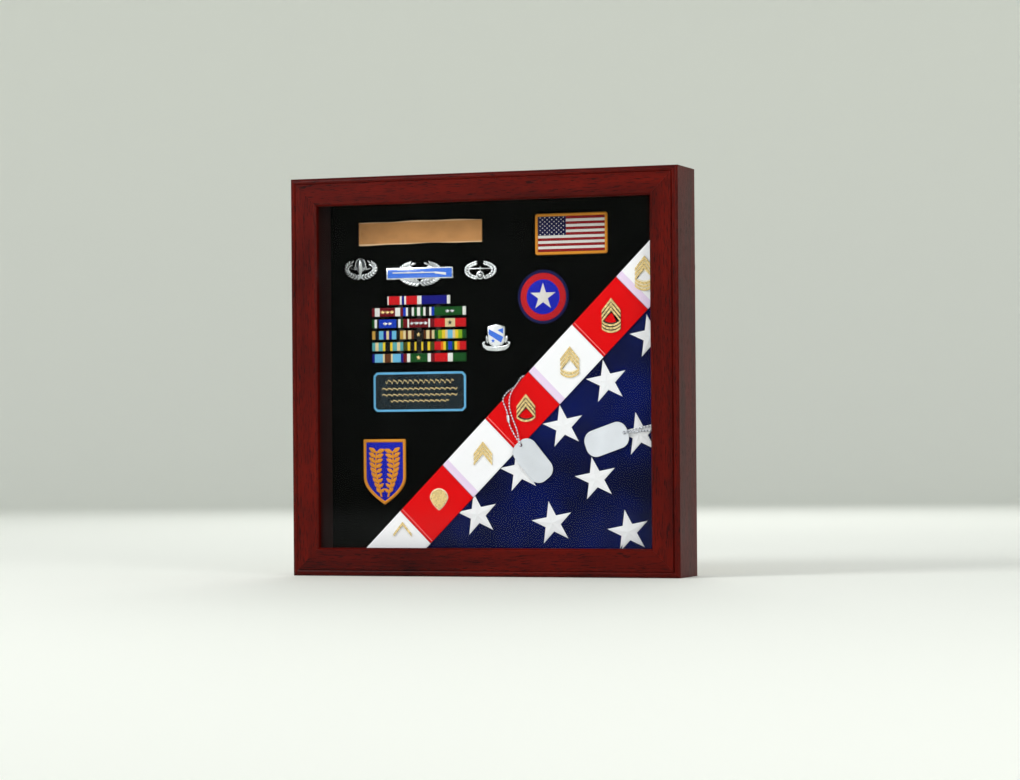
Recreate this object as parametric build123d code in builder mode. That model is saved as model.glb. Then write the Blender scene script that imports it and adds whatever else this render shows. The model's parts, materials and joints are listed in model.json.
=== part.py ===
"""Wall display case for a folded flag and its owner's badges, in millimetres.

The case stands on its bottom rail. +X is to the right and +Z is up. The front faces -Y, and
the origin is at the middle of the case's width and depth, on its underside. Depths are
measured back from the front face of the moulding. A "share" is a place as a fraction of the
display opening, from its left or bottom edge.
"""

from build123d import *
import os
from math import atan2, cos, degrees, pi, radians, sin, sqrt, tan

os.makedirs("parts", exist_ok=True)

# ---------------------------------------------------------------- driving sizes
case_width = 440.0
case_height = 432.0
frame_depth = 66.0  # front of the moulding to the back of the frame

# Moulding section, measured inwards from the outer edge
face_width = 30.5  # outer edge to sight edge
rabbet_width = 22.0  # outer edge to the rabbet wall, which is also the land at the back
lip_depth = 8.0
lip_bevel = 2.0
bead_width = 6.2
bead_quirk = 0.6
bead_drop = 1.4  # floor of the quirk below the face
bead_crest = 0.7  # top of the bead below the face
bead_height = 3.2  # where the bead meets the side
side_quirk = 0.6
back_arris = 1.0

# Stack inside the frame, front to back
glass_thickness = 2.5
velvet_thickness = 1.0
board_thickness = 9.0
panel_thickness = 6.0
spacer_thickness = 4.5
glass_clearance = 0.8
spacer_clearance = 0.2
board_clearance = 0.6
panel_clearance = 0.5

# Corner fasteners, driven from the back
v_nail_leg = 5.0
v_nail_sheet = 0.7
v_nail_length = 9.0
v_nail_places = (7.0, 15.5)  # in from both outer edges

# Turn buttons and their screws
button_width = 10.0
button_centres = 10.0  # pivot to the centre of the rounded tip
button_thickness = 1.5
button_gap = 0.1
button_pivot_from_rabbet = 6.0
button_share = 0.27  # the pairs on the top and bottom rails, from the middle
screw_shank_r = 1.6
screw_length = 12.0
screw_head_r = 3.4
screw_head_height = 1.9
screw_slot_width = 1.0
screw_slot_depth = 0.9
screw_slot_turn = 35.0
screw_head_ease = 0.9
button_ease = 0.4
screw_bite = 0.1  # thread core cut into the wood
running_clearance = 0.08

# D-ring hangers
hanger_share = 0.77  # knuckle height as a share of the case height
hanger_plate_width = 14.0
hanger_plate_length = 40.0
hanger_plate_corner = 3.0
hanger_sheet = 1.1
hanger_hole_clearance = 0.2
knuckle_length = 12.0
ring_wire_r = 1.2
ring_half_width = 9.0
ring_drop = 14.0
ring_corner = 2.2
hanger_screw_places = (21.0, 33.0)  # below the knuckle
hanger_screw_length = 10.0

# Wall bumpers
bumper_r = 5.0
bumper_taper = 8.0
bumper_from_edge = 11.0
bumper_from_corner = 34.0
rear_projection = 5.2  # bumpers' thickness, and the most that any fitting stands proud

# Folded flag in the lower right corner
flag_side_gap = 3.8  # spacer to the pack's right edge
flag_floor_gap = 0.3
flag_left_margin = 48.3  # display opening's left edge to the pack's tip
flag_top_margin = 43.6
flag_glass_gap = 9.0  # glass to the stripe band
band_width = 50.2
band_cloth = 2.5  # the layers of the stripe fold
field_sink = 1.0  # the star field lies this much behind the band
flag_fold_r = 3.0

# Ribbon bars
ribbon_width = 36.5
ribbon_height = 9.4
ribbon_pitch_x = 36.6
ribbon_pitch_z = 12.6
ribbon_thickness = 2.0
ribbon_fold_r = 0.6
ribbon_counts = (2, 3, 3, 3, 3, 3)  # top row first
rack_thickness = 1.0
rack_rail_inset = 1.2
rack_rail_margin = 1.0  # rail narrower than its ribbons, above and below
rack_spine_width = 5.0

# Patches, tape, plaque and badges: width, height, thickness
tape_size = (144.5, 26.0, 1.2)
flag_patch_size = (82.0, 44.5, 1.8)
flag_patch_corner = 1.2
round_patch_r = 29.0
round_patch_thickness = 2.0
shield_patch_size = (50.0, 71.5, 1.8)
plaque_size = (109.0, 44.0, 1.6)
plaque_corner = 4.2
plaque_ease = 0.4
plaque_gap = 10.3  # below the ribbon rack
wreath_badge_size = (45.0, 26.0)
bar_badge_size = (78.0, 12.5)
bar_badge_rim = 1.0
bar_badge_recess = 0.4
bar_wreath_size = (49.0, 26.0)
wings_badge_size = (40.5, 20.0)
crest_size = (34.5, 30.7)
badge_thickness = 1.6
enamel_rise = 0.8
post_r = 0.6
post_length = 6.0
post_clearance = 0.05
board_post_spare = 1.0  # the hole runs on past the post's end
pin_post_spare = 0.5
post_spacing_share = 0.6  # of the badge's width
wings_post_share = 0.84  # the wings' posts stand on their thick ends

# Rank pins on the band: share of the band's length from its middle, and offset outwards
pin_places = (
    (-0.395, 8.5),
    (-0.2835, 1.2),
    (-0.1336, 0.0),
    (0.0123, -0.8),
    (0.1586, -2.0),
    (0.3009, -0.6),
    (0.4216, 4.0),
)
pin_width = 21.0
pin_stroke = 2.9
pin_pitch = 4.9  # chevron to chevron
pin_rise = 12.9  # how far a chevron's point stands above its ends
rocker_stroke = 2.2
rocker_pitch = 3.5
rocker_sag = 4.3
pin_window_margin = 1.5  # dark plate left round the open centre
pin_plate = 0.7
pin_relief = 0.8
pin_post_length = 4.0

# Dog tags
tag_length = 50.0
tag_width = 28.5
tag_corner = 11.5
tag_sheet = 0.6
tag_rim = 1.1
tag_rim_height = 1.0
tag_hole_r = 1.75
tag_hole_inset = 3.9
chain_r = 1.15
clasp_r = 1.7
clasp_length = 7.0

# ---------------------------------------------------------------- worked out from the above
overall_depth = frame_depth + rear_projection
y_front = -overall_depth / 2
glass_back = lip_depth + glass_thickness
panel_front = frame_depth - panel_thickness
board_front = panel_front - board_thickness
velvet_front = board_front - velvet_thickness
spacer_inset = rabbet_width + spacer_clearance  # outer edge to the spacer's outer face
opening_inset = spacer_inset + spacer_thickness
opening_width = case_width - 2 * opening_inset
opening_height = case_height - 2 * opening_inset
opening_left = -opening_width / 2
opening_right = opening_width / 2
opening_bottom = opening_inset
opening_top = case_height - opening_inset
button_pivot_inset = rabbet_width - button_pivot_from_rabbet

band_front = glass_back + flag_glass_gap
field_front = band_front + field_sink
pack_front = band_front + band_cloth
flag_right = opening_right - flag_side_gap
flag_bottom = opening_bottom + flag_floor_gap
flag_leg = min(
    flag_right - opening_left - flag_left_margin,
    opening_top - flag_bottom - flag_top_margin,
)
band_length = flag_leg * sqrt(2)
fold_mid_x = flag_right - flag_leg / 2
fold_mid_z = flag_bottom + flag_leg / 2


def face_plane(depth):
    """A plane that faces the viewer, at this depth, with +X to the right and +Z up."""
    return Plane.XZ.offset(-(y_front + depth))


def place(x_share, z_share):
    """A point of the display opening."""
    return (opening_left + x_share * opening_width, opening_bottom + z_share * opening_height)


def along_band(share, outwards=0.0):
    """A point of the stripe band, from the middle of its length and width."""
    across = outwards - band_width / 2
    along = share * band_length
    return (
        fold_mid_x + (along - across) / sqrt(2),
        fold_mid_z + (along + across) / sqrt(2),
    )


def save(piece, name):
    """Labels a finished piece and writes its STEP file."""
    piece.part.label = name
    export_step(piece.part, f"parts/{name}.step")
    return piece


# ---------------------------------------------------------------- frame rails
sides = {
    "top": ((0, case_height), (0, -1), case_width),
    "bottom": ((0, 0), (0, 1), case_width),
    "left": ((-case_width / 2, case_height / 2), (1, 0), case_height),
    "right": ((case_width / 2, case_height / 2), (-1, 0), case_height),
}


def rail_plane(side):
    """Section plane of a rail: its x runs inwards from the outer edge and its y runs back."""
    (x, z), (in_x, in_z), _ = sides[side]
    return Plane(origin=(x, y_front, z), x_dir=(in_x, 0, in_z), z_dir=(-in_z, 0, in_x))


def moulding_outline():
    """The deep box moulding with a bead round its outer edge and a bevelled sight edge."""
    quirk_edge = bead_width + bead_quirk
    with BuildLine() as outline:
        bead = ThreePointArc(
            (bead_width, bead_drop), (bead_width / 2, bead_crest), (0, bead_height)
        )
        side_back = bead_height + side_quirk
        Polyline(
            bead @ 1,
            (side_quirk, bead_height),
            (side_quirk, side_back),
            (0, side_back),
            (0, frame_depth - back_arris),
            (back_arris, frame_depth),
            (rabbet_width, frame_depth),
            (rabbet_width, lip_depth),
            (face_width, lip_depth),
            (face_width, lip_bevel),
            (face_width - lip_bevel, 0),
            (quirk_edge, 0),
            (quirk_edge, bead_drop),
            bead @ 0,
        )
    make_face(outline.edges())


def button_spots():
    """Each turn button's pivot, and the way it points when it holds the back in."""
    along_x = button_share * case_width
    top = case_height - button_pivot_inset
    side = case_width / 2 - button_pivot_inset
    return [
        ((-along_x, top), (0, -1)),
        ((along_x, top), (0, -1)),
        ((-along_x, button_pivot_inset), (0, 1)),
        ((along_x, button_pivot_inset), (0, 1)),
        ((-side, case_height / 2), (1, 0)),
        ((side, case_height / 2), (-1, 0)),
    ]


knuckle_outer_r = ring_wire_r + running_clearance + hanger_sheet
hanger_x = case_width / 2 - rabbet_width / 2
hanger_z = hanger_share * case_height
hanger_screw_spots = [
    (x, hanger_z - drop) for x in (-hanger_x, hanger_x) for drop in hanger_screw_places
]
corners = [
    (sx * case_width / 2, 0 if sz > 0 else case_height, -sx, sz) for sx in (-1, 1) for sz in (-1, 1)
]


def v_nail_outlines():
    """Chevrons that straddle the mitres, two at each corner."""
    for x, z, in_x, in_z in corners:
        for inset in v_nail_places:
            at_x, at_z = x + in_x * inset, z + in_z * inset
            leg, sheet = v_nail_leg, v_nail_sheet
            with BuildLine() as chevron:
                Polyline(
                    (at_x, at_z),
                    (at_x - in_x * leg, at_z),
                    (at_x - in_x * leg, at_z - in_z * sheet),
                    (at_x - in_x * sheet, at_z - in_z * sheet),
                    (at_x - in_x * sheet, at_z - in_z * leg),
                    (at_x, at_z - in_z * leg),
                    close=True,
                )
            make_face(chevron.edges())


for side, (origin, inward, length) in sides.items():
    with BuildPart() as frame_rail:
        section = rail_plane(side)
        with BuildSketch(section):
            moulding_outline()
        extrude(amount=length / 2, both=True)
        for end in (-1, 1):
            tip = section.origin + section.z_dir * (end * length / 2)
            mitre = Plane(origin=tip, z_dir=section.x_dir + section.z_dir * end)
            split(bisect_by=mitre, keep=Keep.BOTTOM)
        with BuildSketch(face_plane(frame_depth)):
            v_nail_outlines()
        extrude(amount=-v_nail_length, both=True, mode=Mode.SUBTRACT)
        with BuildSketch(face_plane(frame_depth)):
            with Locations(*[spot for spot, _ in button_spots()]):
                Circle(screw_shank_r - screw_bite)
        extrude(amount=screw_length, mode=Mode.SUBTRACT)
        with BuildSketch(face_plane(frame_depth)):
            with Locations(*hanger_screw_spots):
                Circle(screw_shank_r - screw_bite)
        extrude(amount=hanger_screw_length, mode=Mode.SUBTRACT)
    save(frame_rail, f"frame_{side}")

with BuildPart() as corner_v_nails:
    with BuildSketch(face_plane(frame_depth)):
        v_nail_outlines()
    extrude(amount=v_nail_length)
save(corner_v_nails, "corner_v_nails")


# ---------------------------------------------------------------- stack inside the frame
def pane(inset, front, back):
    """A flat sheet that fills the frame up to an inset from its outer edges."""
    with BuildSketch(face_plane(back)) as sheet:
        with Locations((0, case_height / 2)):
            Rectangle(case_width - 2 * inset, case_height - 2 * inset)
    extrude(sheet.sketch, amount=back - front)


with BuildPart() as glass_pane:
    pane(rabbet_width + glass_clearance, lip_depth, glass_back)
save(glass_pane, "glass_pane")

strip_length = case_width - 2 * spacer_inset
side_strip_length = case_height - 2 * opening_inset
strip_centre = spacer_inset + spacer_thickness / 2
spacers = {
    "top": ((0, case_height - strip_centre), (strip_length, spacer_thickness)),
    "bottom": ((0, strip_centre), (strip_length, spacer_thickness)),
    "left": ((strip_centre - case_width / 2, case_height / 2), (spacer_thickness, side_strip_length)),
    "right": ((case_width / 2 - strip_centre, case_height / 2), (spacer_thickness, side_strip_length)),
}
for side, (centre, size) in spacers.items():
    with BuildPart() as spacer:
        with BuildSketch(face_plane(velvet_front)):
            with Locations(centre):
                Rectangle(*size)
        extrude(amount=velvet_front - glass_back)
    save(spacer, f"spacer_{side}")


# ---------------------------------------------------------------- badges' places and posts
ribbon_rows = len(ribbon_counts)
rack_x, rack_z = place(0.2702, 0.6373)
rack_width = (max(ribbon_counts) - 1) * ribbon_pitch_x + ribbon_width
rack_height = (ribbon_rows - 1) * ribbon_pitch_z + ribbon_height
tape_at = place(0.2743, 0.916)
flag_patch_at = place(0.725, 0.8982)
round_patch_at = place(0.6415, 0.7208)
shield_patch_at = place(0.1622, 0.226)
wreath_at = place(0.0926, 0.8117)
bar_at = place(0.2732, 0.7985)
wings_at = place(0.4554, 0.8011)
crest_at = place(0.5019, 0.6067)
plaque_at = (rack_x, rack_z - rack_height / 2 - plaque_gap - plaque_size[1] / 2)


def post_pair(at, width, share=post_spacing_share):
    """The two posts that hold a badge: their places either side of its centre."""
    reach = width * share / 2
    return [(at[0] - reach, at[1]), (at[0] + reach, at[1])]


board_posts = (
    post_pair(wreath_at, wreath_badge_size[0])
    + post_pair(bar_at, bar_badge_size[0])
    + post_pair(wings_at, wings_badge_size[0], wings_post_share)
    + post_pair(crest_at, crest_size[0] / 2)
    + post_pair(plaque_at, plaque_size[0])
    + post_pair((rack_x, rack_z + ribbon_pitch_z / 2), rack_width)
)


def drill_posts(spots, front, back):
    """Holes for badge posts, through everything between two depths."""
    with BuildSketch(face_plane(back)) as holes:
        with Locations(*spots):
            Circle(post_r + post_clearance)
    extrude(holes.sketch, amount=back - front, mode=Mode.SUBTRACT)


def add_posts(spots, seat, length):
    """Posts that reach back from a badge's seat."""
    with BuildSketch(face_plane(seat)) as posts:
        with Locations(*spots):
            Circle(post_r)
    extrude(posts.sketch, amount=-length)


with BuildPart() as velvet_cover:
    pane(rabbet_width + board_clearance, velvet_front, panel_front)
    with BuildSketch(face_plane(panel_front)):
        with Locations((0, case_height / 2)):
            margin = rabbet_width + board_clearance + velvet_thickness
            Rectangle(case_width - 2 * margin, case_height - 2 * margin)
    extrude(amount=board_thickness, mode=Mode.SUBTRACT)
    drill_posts(board_posts, velvet_front, board_front)
save(velvet_cover, "velvet_cover")

with BuildPart() as backing_board:
    pane(rabbet_width + board_clearance + velvet_thickness, board_front, panel_front)
    drill_posts(board_posts, board_front, velvet_front + post_length + board_post_spare)
save(backing_board, "backing_board")

with BuildPart() as back_panel:
    pane(rabbet_width + panel_clearance, panel_front, frame_depth)
save(back_panel, "back_panel")

# ---------------------------------------------------------------- turn buttons and screws
button_seat = frame_depth + button_gap
head_seat = button_seat + button_thickness + button_gap
for number, ((x, z), (way_x, way_z)) in enumerate(button_spots(), 1):
    with BuildPart() as turn_button:
        with BuildSketch(face_plane(button_seat)):
            turn = degrees(atan2(way_z, way_x))
            middle = (x + way_x * button_centres / 2, z + way_z * button_centres / 2)
            with Locations(Location(middle, turn)):
                SlotCenterToCenter(button_centres, button_width)
            with Locations((x, z)):
                Circle(screw_shank_r + running_clearance, mode=Mode.SUBTRACT)
        extrude(amount=-button_thickness)
        chamfer(turn_button.faces().sort_by(Axis.Y)[-1].outer_wire().edges(), button_ease)
    save(turn_button, f"turn_button_{number}")


def pan_screws(spots, seat, length):
    """Slotted pan-head screws, heads seated at a depth behind the frame's back."""
    tip = frame_depth - length
    with BuildSketch(face_plane(tip)) as shanks:
        with Locations(*spots):
            Circle(screw_shank_r)
    extrude(shanks.sketch, amount=-(seat - tip))
    with BuildSketch(face_plane(seat)) as heads:
        with Locations(*spots):
            Circle(screw_head_r)
    extrude(heads.sketch, amount=-screw_head_height)


def slot_heads(spots, seat):
    """Driver slots across the screw heads."""
    with BuildSketch(face_plane(seat + screw_head_height)) as slots:
        with Locations(*spots):
            Rectangle(2 * screw_head_r + 1, screw_slot_width, rotation=screw_slot_turn)
    extrude(slots.sketch, amount=screw_slot_depth, mode=Mode.SUBTRACT)


with BuildPart() as turn_button_screws:
    pivots = [spot for spot, _ in button_spots()]
    pan_screws(pivots, head_seat, screw_length)
    rims = turn_button_screws.faces().filter_by(Axis.Y).group_by(Axis.Y)[-1]
    fillet(rims.edges(), screw_head_ease)
    slot_heads(pivots, head_seat)
save(turn_button_screws, "turn_button_screws")

# ---------------------------------------------------------------- D-ring hangers
plate_front = frame_depth
plate_back = frame_depth + hanger_sheet
knuckle_depth = frame_depth + knuckle_outer_r
for side, x in (("left", -hanger_x), ("right", hanger_x)):
    knuckle_at = Plane(origin=(x, y_front + knuckle_depth, hanger_z), x_dir=(0, 1, 0), z_dir=(1, 0, 0))
    with BuildPart() as hanger_plate:
        with BuildSketch(face_plane(plate_front)):
            with Locations((x, hanger_z - hanger_plate_length / 2)):
                Rectangle(hanger_plate_width, hanger_plate_length)
        extrude(amount=-hanger_sheet)
        fillet(hanger_plate.edges().filter_by(Axis.Y).group_by(Axis.Z)[0], hanger_plate_corner)
        with BuildSketch(knuckle_at):
            Circle(knuckle_outer_r)
        extrude(amount=knuckle_length / 2, both=True)
        with BuildSketch(knuckle_at):
            Circle(ring_wire_r + running_clearance)
        extrude(amount=hanger_plate_width, both=True, mode=Mode.SUBTRACT)
        with BuildSketch(face_plane(plate_back)):
            with Locations(*[(x, hanger_z - drop) for drop in hanger_screw_places]):
                Circle(screw_shank_r + hanger_hole_clearance)
        extrude(amount=hanger_sheet, mode=Mode.SUBTRACT)
    save(hanger_plate, f"hanger_plate_{side}")

    with BuildPart() as hanger_ring:
        with BuildLine(face_plane(knuckle_depth)) as d_shape:
            FilletPolyline(
                (x, hanger_z),
                (x + ring_half_width, hanger_z),
                (x + ring_half_width, hanger_z - ring_drop),
                (x - ring_half_width, hanger_z - ring_drop),
                (x - ring_half_width, hanger_z),
                close=True,
                radius=[0, ring_corner, ring_half_width - 1, ring_half_width - 1, ring_corner],
            )
        with BuildSketch(Plane(origin=d_shape.wire() @ 0, z_dir=d_shape.wire() % 0)):
            Circle(ring_wire_r)
        sweep(path=d_shape.wire())
    save(hanger_ring, f"hanger_ring_{side}")

with BuildPart() as hanger_screws:
    pan_screws(hanger_screw_spots, plate_back, hanger_screw_length)
    slot_heads(hanger_screw_spots, plate_back)
save(hanger_screws, "hanger_screws")

with BuildPart() as wall_bumpers:
    bumper_x = case_width / 2 - bumper_from_corner
    with BuildSketch(face_plane(frame_depth)):
        with Locations(
            (-bumper_x, bumper_from_edge),
            (bumper_x, bumper_from_edge),
            (-bumper_x, case_height - bumper_from_edge),
            (bumper_x, case_height - bumper_from_edge),
        ):
            Circle(bumper_r)
    extrude(amount=-rear_projection, taper=bumper_taper)
save(wall_bumpers, "wall_bumpers")


# ---------------------------------------------------------------- rank pins' heights and posts
ranks = ((1, 0), None, (3, 0), (3, 1), (3, 2), (3, 3), (3, 3))  # chevrons, rockers; None is domed


def rank_height(chevrons, rockers):
    """Full height of a stack of chevrons and rockers."""
    height = pin_rise + (chevrons - 1) * pin_pitch + pin_stroke
    if rockers:
        height = height + (rockers - 1) * rocker_pitch + rocker_sag
    return height


def rank_posts(rank, centre):
    """The two posts of a rank pin, behind its upper chevrons."""
    lift = 0
    if rank:
        lift = rank_height(*rank) / (4 if rank[0] > 1 else 16)
    return post_pair((centre[0], centre[1] + lift), pin_width / 2)


# ---------------------------------------------------------------- folded flag
def corner_triangle(inset_from_fold):
    """The lower right corner's triangle, up to a line parallel to the long fold."""
    leg = flag_leg - inset_from_fold * sqrt(2)
    with BuildLine() as triangle:
        Polyline(
            (flag_right, flag_bottom),
            (flag_right, flag_bottom + leg),
            (flag_right - leg, flag_bottom),
            close=True,
        )
    make_face(triangle.edges())


pin_posts = [
    spot
    for rank, (share, out) in zip(ranks, pin_places)
    for spot in rank_posts(rank, along_band(share, out))
]
post_back = band_front + pin_post_length + pin_post_spare

with BuildPart() as flag_star_field:
    with BuildSketch(face_plane(velvet_front)):
        corner_triangle(band_cloth)
    extrude(amount=velvet_front - pack_front)
    with BuildSketch(face_plane(pack_front)):
        corner_triangle(band_width)
    extrude(amount=pack_front - field_front)
    front_edges = flag_star_field.faces().sort_by(Axis.Y)[0].edges()
    fillet(front_edges.sort_by(Axis.X)[-1], flag_fold_r)
    drill_posts(pin_posts, pack_front, post_back)
save(flag_star_field, "flag_star_field")

with BuildPart() as flag_stripe_band:
    with BuildSketch(face_plane(velvet_front)):
        corner_triangle(0)
    extrude(amount=velvet_front - band_front)
    fold_edges = flag_stripe_band.faces().sort_by(Axis.Y)[0].edges()
    long_fold = fold_edges.sort_by(SortBy.LENGTH)[-1]
    right_edge = fold_edges.sort_by(Axis.X)[-1]
    fillet([long_fold, right_edge], flag_fold_r)
    with BuildSketch(face_plane(velvet_front)):
        corner_triangle(band_cloth)
    extrude(amount=velvet_front - pack_front, mode=Mode.SUBTRACT)
    with BuildSketch(face_plane(pack_front)):
        corner_triangle(band_width)
    extrude(amount=band_cloth, mode=Mode.SUBTRACT)
    drill_posts(pin_posts, band_front, post_back)
save(flag_stripe_band, "flag_stripe_band")


# ---------------------------------------------------------------- rank pins
point_stroke = pin_stroke * 1.25  # a chevron is thicker at its point


def chevron_outline(top):
    """One chevron with its point at a height."""
    half = pin_width / 2
    ends = top - pin_rise
    with BuildLine() as chevron:
        Polyline(
            (0, top),
            (half, ends),
            (half, ends - pin_stroke),
            (0, top - point_stroke),
            (-half, ends - pin_stroke),
            (-half, ends),
            close=True,
        )
    make_face(chevron.edges())


def rocker_outline(low):
    """One rocker, an arc that sags between two ends at a height."""
    half = pin_width / 2
    high = low + rocker_stroke
    with BuildLine() as rocker:
        lower = ThreePointArc((-half, low), (0, low - rocker_sag), (half, low))
        Line(lower @ 1, (half, high))
        upper = ThreePointArc((half, high), (0, high - rocker_sag), (-half, high))
        Line(upper @ 1, lower @ 0)
    make_face(rocker.edges())


def rank_levels(chevrons, rockers):
    """Heights of the top point, the outer shoulders and the lowest chevron's lower ends."""
    top = rank_height(chevrons, rockers) / 2
    shoulder = top - pin_rise
    return top, shoulder, shoulder - (chevrons - 1) * pin_pitch - pin_stroke


def rank_stripes(chevrons, rockers):
    """Raised chevrons above, rockers below, centred on the pin."""
    top, _, ends = rank_levels(chevrons, rockers)
    for step in range(chevrons):
        chevron_outline(top - step * pin_pitch)
    for step in range(rockers):
        rocker_outline(ends - step * rocker_pitch)


def rank_backing(chevrons, rockers):
    """The thin plate behind the stripes, with an open centre where there are rockers."""
    top, shoulder, ends = rank_levels(chevrons, rockers)
    half = pin_width / 2
    inner_point = ends + pin_stroke + pin_rise - point_stroke
    if rockers:
        low = ends - (rockers - 1) * rocker_pitch
        with BuildLine() as plate:
            Polyline((-half, low), (-half, shoulder), (0, top), (half, shoulder), (half, low))
            ThreePointArc((half, low), (0, low - rocker_sag), (-half, low))
        make_face(plate.edges())
        window = half * 0.8
        sill = ends + rocker_stroke - rocker_sag + pin_window_margin
        with BuildLine() as opening:
            edge = sill + rocker_sag * 0.7
            arc = ThreePointArc((-window, edge), (0, sill), (window, edge))
            Polyline(arc @ 1, (0, inner_point - pin_window_margin * 1.4), arc @ 0)
        make_face(opening.edges(), mode=Mode.SUBTRACT)
    else:
        with BuildLine() as plate:
            Polyline(
                (0, top),
                (half, shoulder),
                (half, ends),
                (0, inner_point),
                (-half, ends),
                (-half, shoulder),
                close=True,
            )
        make_face(plate.edges())


def dome_outline(width, height, lift=0):
    """A shield with a domed top and a point below, its middle raised by the lift."""
    half = width / 2
    top = lift + height / 2
    point = lift - height / 2
    with BuildLine() as outline:
        dome = ThreePointArc((-half, top - half), (0, top), (half, top - half))
        RadiusArc(dome @ 1, (0, point), height * 1.1)
        RadiusArc((0, point), dome @ 0, height * 1.1)
    make_face(outline.edges())


for number, (rank, (share, out)) in enumerate(zip(ranks, pin_places), 1):
    centre = along_band(share, out)
    seat = face_plane(band_front)
    seat.origin = seat.from_local_coords(centre)
    relief = face_plane(band_front - pin_plate)
    relief.origin = relief.from_local_coords(centre)
    with BuildPart() as rank_pin:
        with BuildSketch(seat):
            if rank is None:
                dome_outline(pin_width, pin_width * 1.14)
            else:
                rank_backing(*rank)
        extrude(amount=pin_plate)
        with BuildSketch(relief):
            if rank is None:
                dome_outline(pin_width - 1.6, pin_width * 1.14 - 2.2)
                RegularPolygon(3.6, 6)
            else:
                rank_stripes(*rank)
        extrude(amount=pin_relief)
        add_posts(rank_posts(rank, centre), band_front, pin_post_length)
    save(rank_pin, f"rank_pin_{number}")

# ---------------------------------------------------------------- patches, tape and plaque
with BuildPart() as name_tape:
    with BuildSketch(face_plane(velvet_front)):
        with Locations(tape_at):
            Rectangle(tape_size[0], tape_size[1])
    extrude(amount=tape_size[2])
save(name_tape, "name_tape")

with BuildPart() as flag_patch:
    with BuildSketch(face_plane(velvet_front)):
        with Locations(flag_patch_at):
            RectangleRounded(flag_patch_size[0], flag_patch_size[1], flag_patch_corner)
    extrude(amount=flag_patch_size[2])
save(flag_patch, "flag_patch")

with BuildPart() as round_patch:
    with BuildSketch(face_plane(velvet_front)):
        with Locations(round_patch_at):
            Circle(round_patch_r)
    extrude(amount=round_patch_thickness)
save(round_patch, "round_patch")

with BuildPart() as shield_patch:
    with BuildSketch(face_plane(velvet_front)):
        with BuildLine():
            x, z = shield_patch_at
            half, tall = shield_patch_size[0] / 2, shield_patch_size[1] / 2
            sides_end = z - tall * 0.18
            Polyline((x - half, sides_end), (x - half, z + tall), (x + half, z + tall), (x + half, sides_end))
            RadiusArc((x + half, sides_end), (x, z - tall), tall * 1.7)
            RadiusArc((x, z - tall), (x - half, sides_end), tall * 1.7)
        make_face()
    extrude(amount=shield_patch_size[2])
save(shield_patch, "shield_patch")

with BuildPart() as plaque:
    with BuildSketch(face_plane(velvet_front)):
        with Locations(plaque_at):
            Rectangle(plaque_size[0], plaque_size[1])
        chamfer(vertices(), plaque_corner)
    extrude(amount=plaque_size[2])
    chamfer(plaque.faces().sort_by(Axis.Y)[0].edges(), plaque_ease)
    add_posts(post_pair(plaque_at, plaque_size[0]), velvet_front, post_length)
save(plaque, "plaque")


# ---------------------------------------------------------------- badges
def badge_plane(depth, at):
    """A plane that faces the viewer with its origin at a badge's centre."""
    plane = face_plane(depth)
    plane.origin = plane.from_local_coords(at)
    return plane


def open_wreath(width, height, band, gap_angle):
    """An oval wreath, open at the top."""
    Ellipse(width / 2, height / 2)
    Ellipse(width / 2 - band, height / 2 - band, mode=Mode.SUBTRACT)
    reach = height
    half_gap = radians(gap_angle / 2)
    with BuildLine() as gap:
        Polyline((0, 0), (-reach * tan(half_gap), reach), (reach * tan(half_gap), reach), close=True)
    make_face(gap.edges(), mode=Mode.SUBTRACT)


with BuildPart() as badge_wreath:
    width, height = wreath_badge_size
    with BuildSketch(badge_plane(velvet_front, wreath_at)):
        open_wreath(width, height * 0.86, 4.2, 70)
        Rectangle(width * 0.7, 2.2)
    extrude(amount=badge_thickness)
    with BuildSketch(badge_plane(velvet_front, wreath_at)):
        with Locations((0, height * 0.07)):
            Ellipse(width * 0.15, height * 0.43)
    extrude(amount=badge_thickness + enamel_rise)
    add_posts(post_pair(wreath_at, width), velvet_front, post_length)
save(badge_wreath, "badge_wreath")

with BuildPart() as badge_bar:
    bar_plane = badge_plane(velvet_front, bar_at)
    with BuildSketch(bar_plane):
        open_wreath(bar_wreath_size[0], bar_wreath_size[1], 3.6, 62)
    extrude(amount=badge_thickness)
    with BuildSketch(bar_plane):
        Rectangle(*bar_badge_size)
    extrude(amount=badge_thickness + enamel_rise)
    with BuildSketch(badge_plane(velvet_front - badge_thickness - enamel_rise, bar_at)):
        Rectangle(bar_badge_size[0] - 2 * bar_badge_rim, bar_badge_size[1] - 2 * bar_badge_rim)
    extrude(amount=-bar_badge_recess, mode=Mode.SUBTRACT)
    add_posts(post_pair(bar_at, bar_badge_size[0]), velvet_front, post_length)
save(badge_bar, "badge_bar")

with BuildPart() as badge_wings:
    width, height = wings_badge_size
    with BuildSketch(badge_plane(velvet_front, wings_at)):
        open_wreath(width, height, 5.6, 100)
        with Locations((0, height * 0.16)):
            Rectangle(width * 0.76, 1.4)
    extrude(amount=badge_thickness)
    with BuildSketch(badge_plane(velvet_front, wings_at)):
        with Locations((0, -height * 0.27)):
            Circle(height * 0.23)
        with Locations((0, 0)):
            Rectangle(1.6, height * 0.36)
    extrude(amount=badge_thickness + enamel_rise)
    add_posts(post_pair(wings_at, width, wings_post_share), velvet_front, post_length)
save(badge_wings, "badge_wings")

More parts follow.
